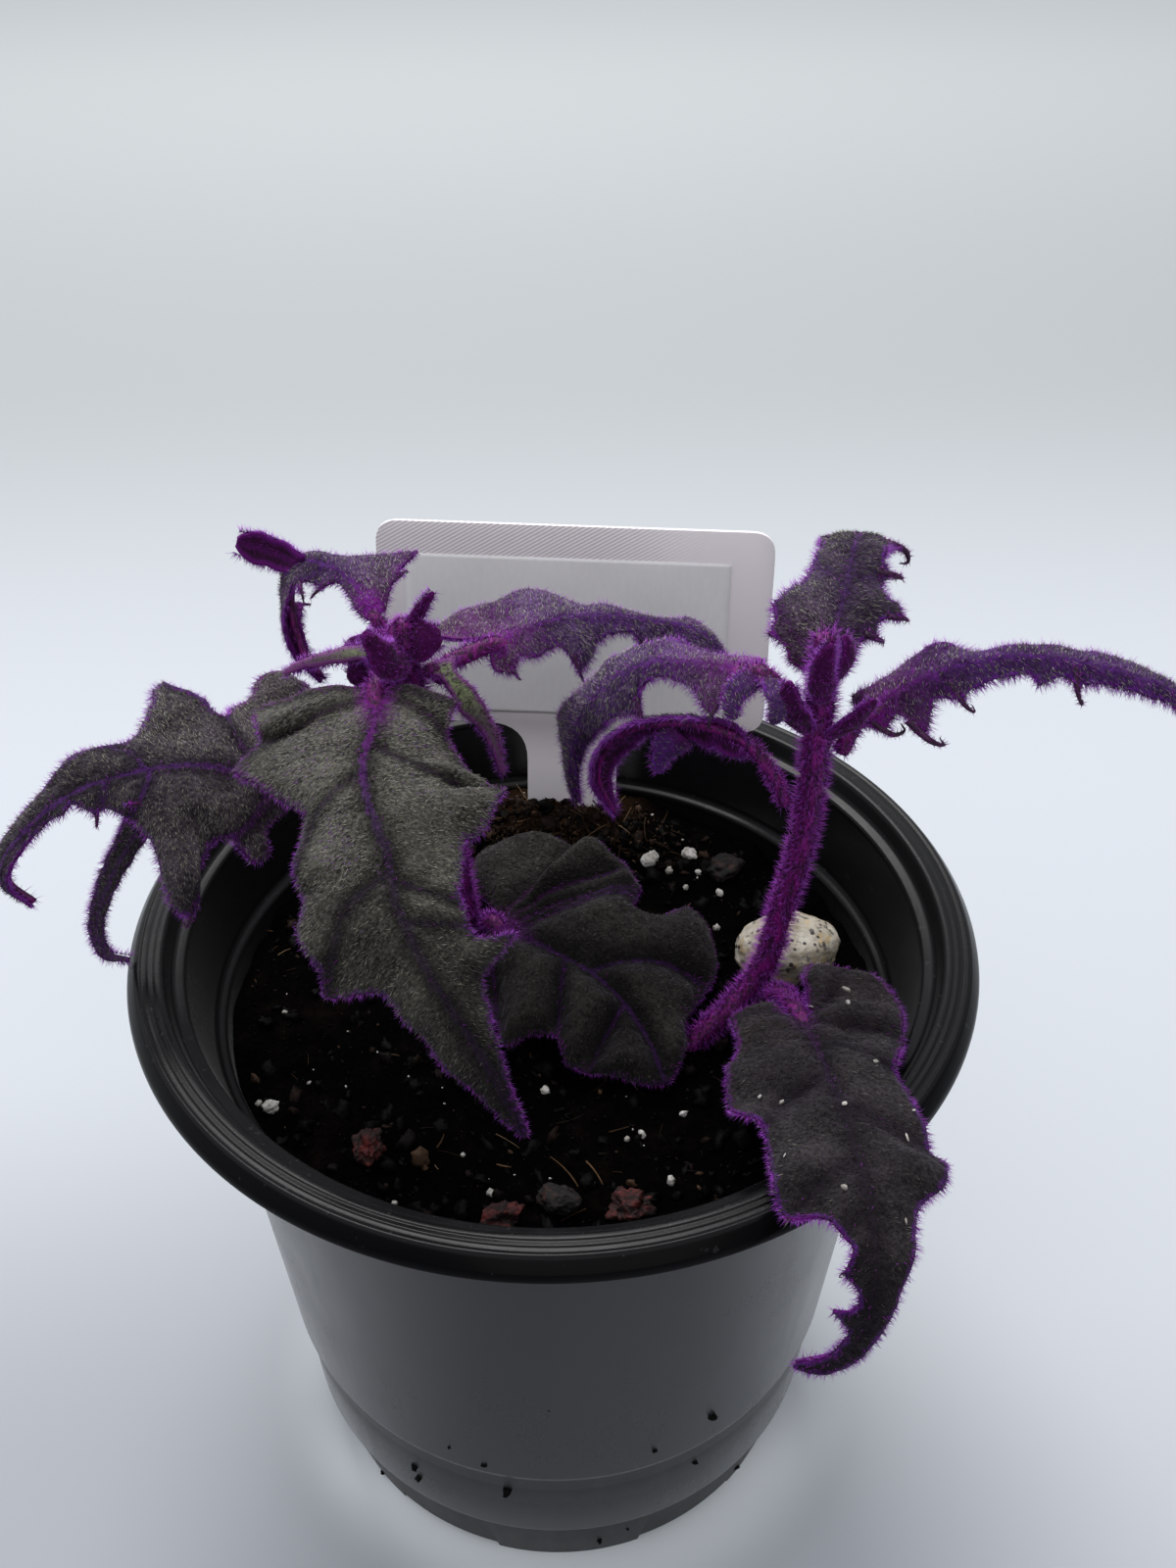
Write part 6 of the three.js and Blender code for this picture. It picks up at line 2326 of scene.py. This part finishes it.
            Strap(((23, -6.3, 134.6), (21.6, -7, 134.4), (20.2, -7.6, 133.4), (19.6, -8.4, 131.8),
                  (20.2, -8.9, 130.8)), (2, 2.6, 2.4, 1.8, 0.8), (-0.4, -0.8, 0.5)),
            Strap(((23.4, -6.4, 134.6), (24, -8, 134.6), (24.6, -9.4, 133.8), (24.6, -10, 132.2),
                  (24, -10, 130.8)), (2, 2.8, 2.8, 2.2, 0.9), (0.4, -0.8, 0.5)),
        ),
        fold=(30, 8), rib=(1, 0.65), core=0.5, light=0.85, bloom=0.5, hook=(2, 0.8),
    ),
    Leaf(
        "leaf_b4_lower_left",
        petiole=((26.8, -7.8, 117.8), (24.9, -8, 122.4)),
        midrib=((22, -7, 126), (19, -5, 127.4), (15.4, -3, 127), (11, -1, 125.4), (7.9, 1, 122.4),
         (5.9, 3, 117.9), (5.5, 4, 113), (7.6, 5, 107.2)),
        facing=((0, 1, 0.15), (-0.1, 0.95, 0.3), (-0.7, 0.7, 0.1)),
        left=(((0, 1.1), (2, 2.2)), ((5, 2.2), (9, 1.8), (13, 2.6)), ((16, 1.8), (20, 1.9),
         (26, 1.3), (34.6, 0.4))),
        right=(((-0.6, 1.5), (0.8, 3), (4, 3.5), (6.5, 4.6)), ((8.6, 3.5), (12, 3.4), (14, 3)), ((17, 3),
         (19.5, 3.6), (22.5, 4.4)), ((25, 3.2), (28, 2.4), (32, 1.2), (34.6, 0.4))),
        lobes=(
            Strap(((15, -2.6, 124.4), (13.4, -3, 123), (12.4, -3.5, 121.4), (12.6, -4, 119.8)),
                  (4, 3.2, 2.2, 0.8), (0.2, -0.9, 0.3)),
        ),
        fold=(35, 0), rib=(0.8, 0.4), droop=0, quilt=0.2, wave=0.5, glow=0.8, core=0.7, light=0.3,
        bloom=0.6, hook=(1, 0.8),
    ),
    Leaf(
        "leaf_b5_over_rim",
        petiole=((27, -9.9, 89), (28, -13, 91.4)),
        midrib=((28.8, -17.5, 93.1), (29.7, -26.5, 95.7), (30.3, -35.5, 97.4), (30.7, -46.3, 98.6),
         (30.7, -53.5, 97.7), (30.1, -58, 94.6), (28.9, -59.5, 89.5), (26.3, -59.5, 85),
         (23.4, -58.5, 83.1)),
        facing=((-0.05, 0.15, 1), (0, -0.3, 0.95), (0.2, -0.8, 0.6)),
        left=(((0.4, 1.5), (-4.8, 2.6), (-8.8, 3.4), (-11.6, 5.5), (-10.6, 9.3)), ((-5.8, 11.4),
         (-0.8, 13), (6.5, 10.9), (13.5, 7.7)), ((19.7, 8.1), (23.2, 8.6), (25.8, 8.2), (28.3, 9.4)),
         ((30.8, 8.5), (32.8, 5.8), (35.2, 4.4), (38.4, 3.8), (42.1, 2.8), (46.9, 1.8), (51.8, 1.4),
         (56.6, 0.4))),
        right=(((0.4, 1.5), (-3, 2.6), (-3.6, 4.6), (-2.4, 7.6)), ((0.5, 7.8), (4.3, 8.4), (11.8, 11.2),
         (18, 11.4), (20.8, 8.9), (28.2, 9), (31.5, 9.2), (34.4, 8.3)), ((34.8, 4.8), (36.6, 3.3)),
         ((38.4, 2.3), (40.6, 3.1)), ((42.4, 1.5), (44.4, 1.4), (45.6, 3.4)), ((47.4, 1.1), (50.1, 0.9),
         (53.7, 0.6), (56.6, 0.4))),
        fold=(2, 2), rib=(1.2, 0.65), droop=0.004, ruffle=0.5, quilt=0.55, wave=0.8, glow=0.04, core=0.15,
        light=0.34, bloom=0.03, fringe=0.75, hook=(0.9, 0.8), flecks=12,
    ),
)

# The growing tip of the left stem
BUD = (((-16.9, 5, 131.9), (-16.8, 4.7, 133.8), (-16.7, 4.4, 136.2)), (1.6, 2.1, 0.7))
TIPS = (
    Strap(((-17, 4, 133.2), (-17.9, 0.4, 133.4), (-18.8, -1.2, 134.8), (-19.6, -1.5, 136.4),
          (-20.8, -1, 138.2)), (2.4, 4, 4.2, 2.8, 0.8), (0.5, -0.8, 0.5)),
    Strap(((-16.8, 4.5, 134), (-15.8, 4.6, 135.6), (-14.6, 5, 137.6), (-13.2, 5.4, 139.4)),
          (1.4, 1.5, 1.2, 0.6), (0.2, -1, 0.3)),
    Strap(((-16.8, 4.6, 133.4), (-14.7, 3.1, 134.4), (-12.4, 2.7, 135.2)), (2.6, 4.6, 2.2),
          (0.1, -0.8, 0.6)),
    Strap(((-17, 4.6, 132.6), (-21.6, 4.8, 132), (-24, 5.2, 131.7)), (2.4, 4.6, 2.2), (-0.1, -0.7, 0.7)),
    Strap(((-17.4, 4.6, 133), (-19.9, 4, 132), (-21.5, 3.5, 130.4), (-23.4, 3.5, 129)), (1.8, 3, 3.8, 1.8),
          (-0.1, -0.8, 0.6)),
    Strap(((-17.4, 4.4, 133), (-20.7, 3.4, 132.8), (-24, 3.6, 132.2), (-28.5, 4, 130.9), (-31, 4, 129.7)),
          (1.6, 1.8, 1.7, 1.2, 0.6), (0, -0.6, 0.8)),
)

# Young leaves that sit close round the top of the right stem
SHOOT = (
    Strap(((28.4, -8.4, 128.5), (26.9, -9.3, 131), (25.9, -9.8, 133.6), (25.6, -9.8, 136.2)),
          (1.6, 3, 2.6, 1.2), (-0.5, -0.9, 0.2)),
    Strap(((30.9, -8.2, 127.5), (32.6, -8.9, 129.4), (34.2, -9.2, 131.5), (35.4, -9, 133)),
          (1.4, 2.6, 2.2, 0.9), (0.5, -0.9, 0.2)),
    Strap(((29.5, -9.2, 133), (29, -10.2, 136), (28.9, -10.4, 138.5), (29.6, -10, 141)),
          (1.6, 2.6, 2.2, 0.8), (-0.1, -1, 0.3)),
    Strap(((30.6, -8.4, 135), (31.6, -8.9, 137.6), (31.7, -8.8, 139.6), (31.2, -8.4, 141)),
          (1.3, 2, 1.8, 0.7), (0.6, -0.8, 0.2)),
)


# The whole plant


def main() -> None:
    """Builds every sub-assembly in order."""
    logging.basicConfig(level=logging.INFO, format="%(message)s")
    Studio().build()
    Pot().build()
    Soil().build()
    Label().build()
    Foliage(STEMS, LEAVES, BUD, TIPS, SHOOT).build()


if __name__ == "__main__":
    main()
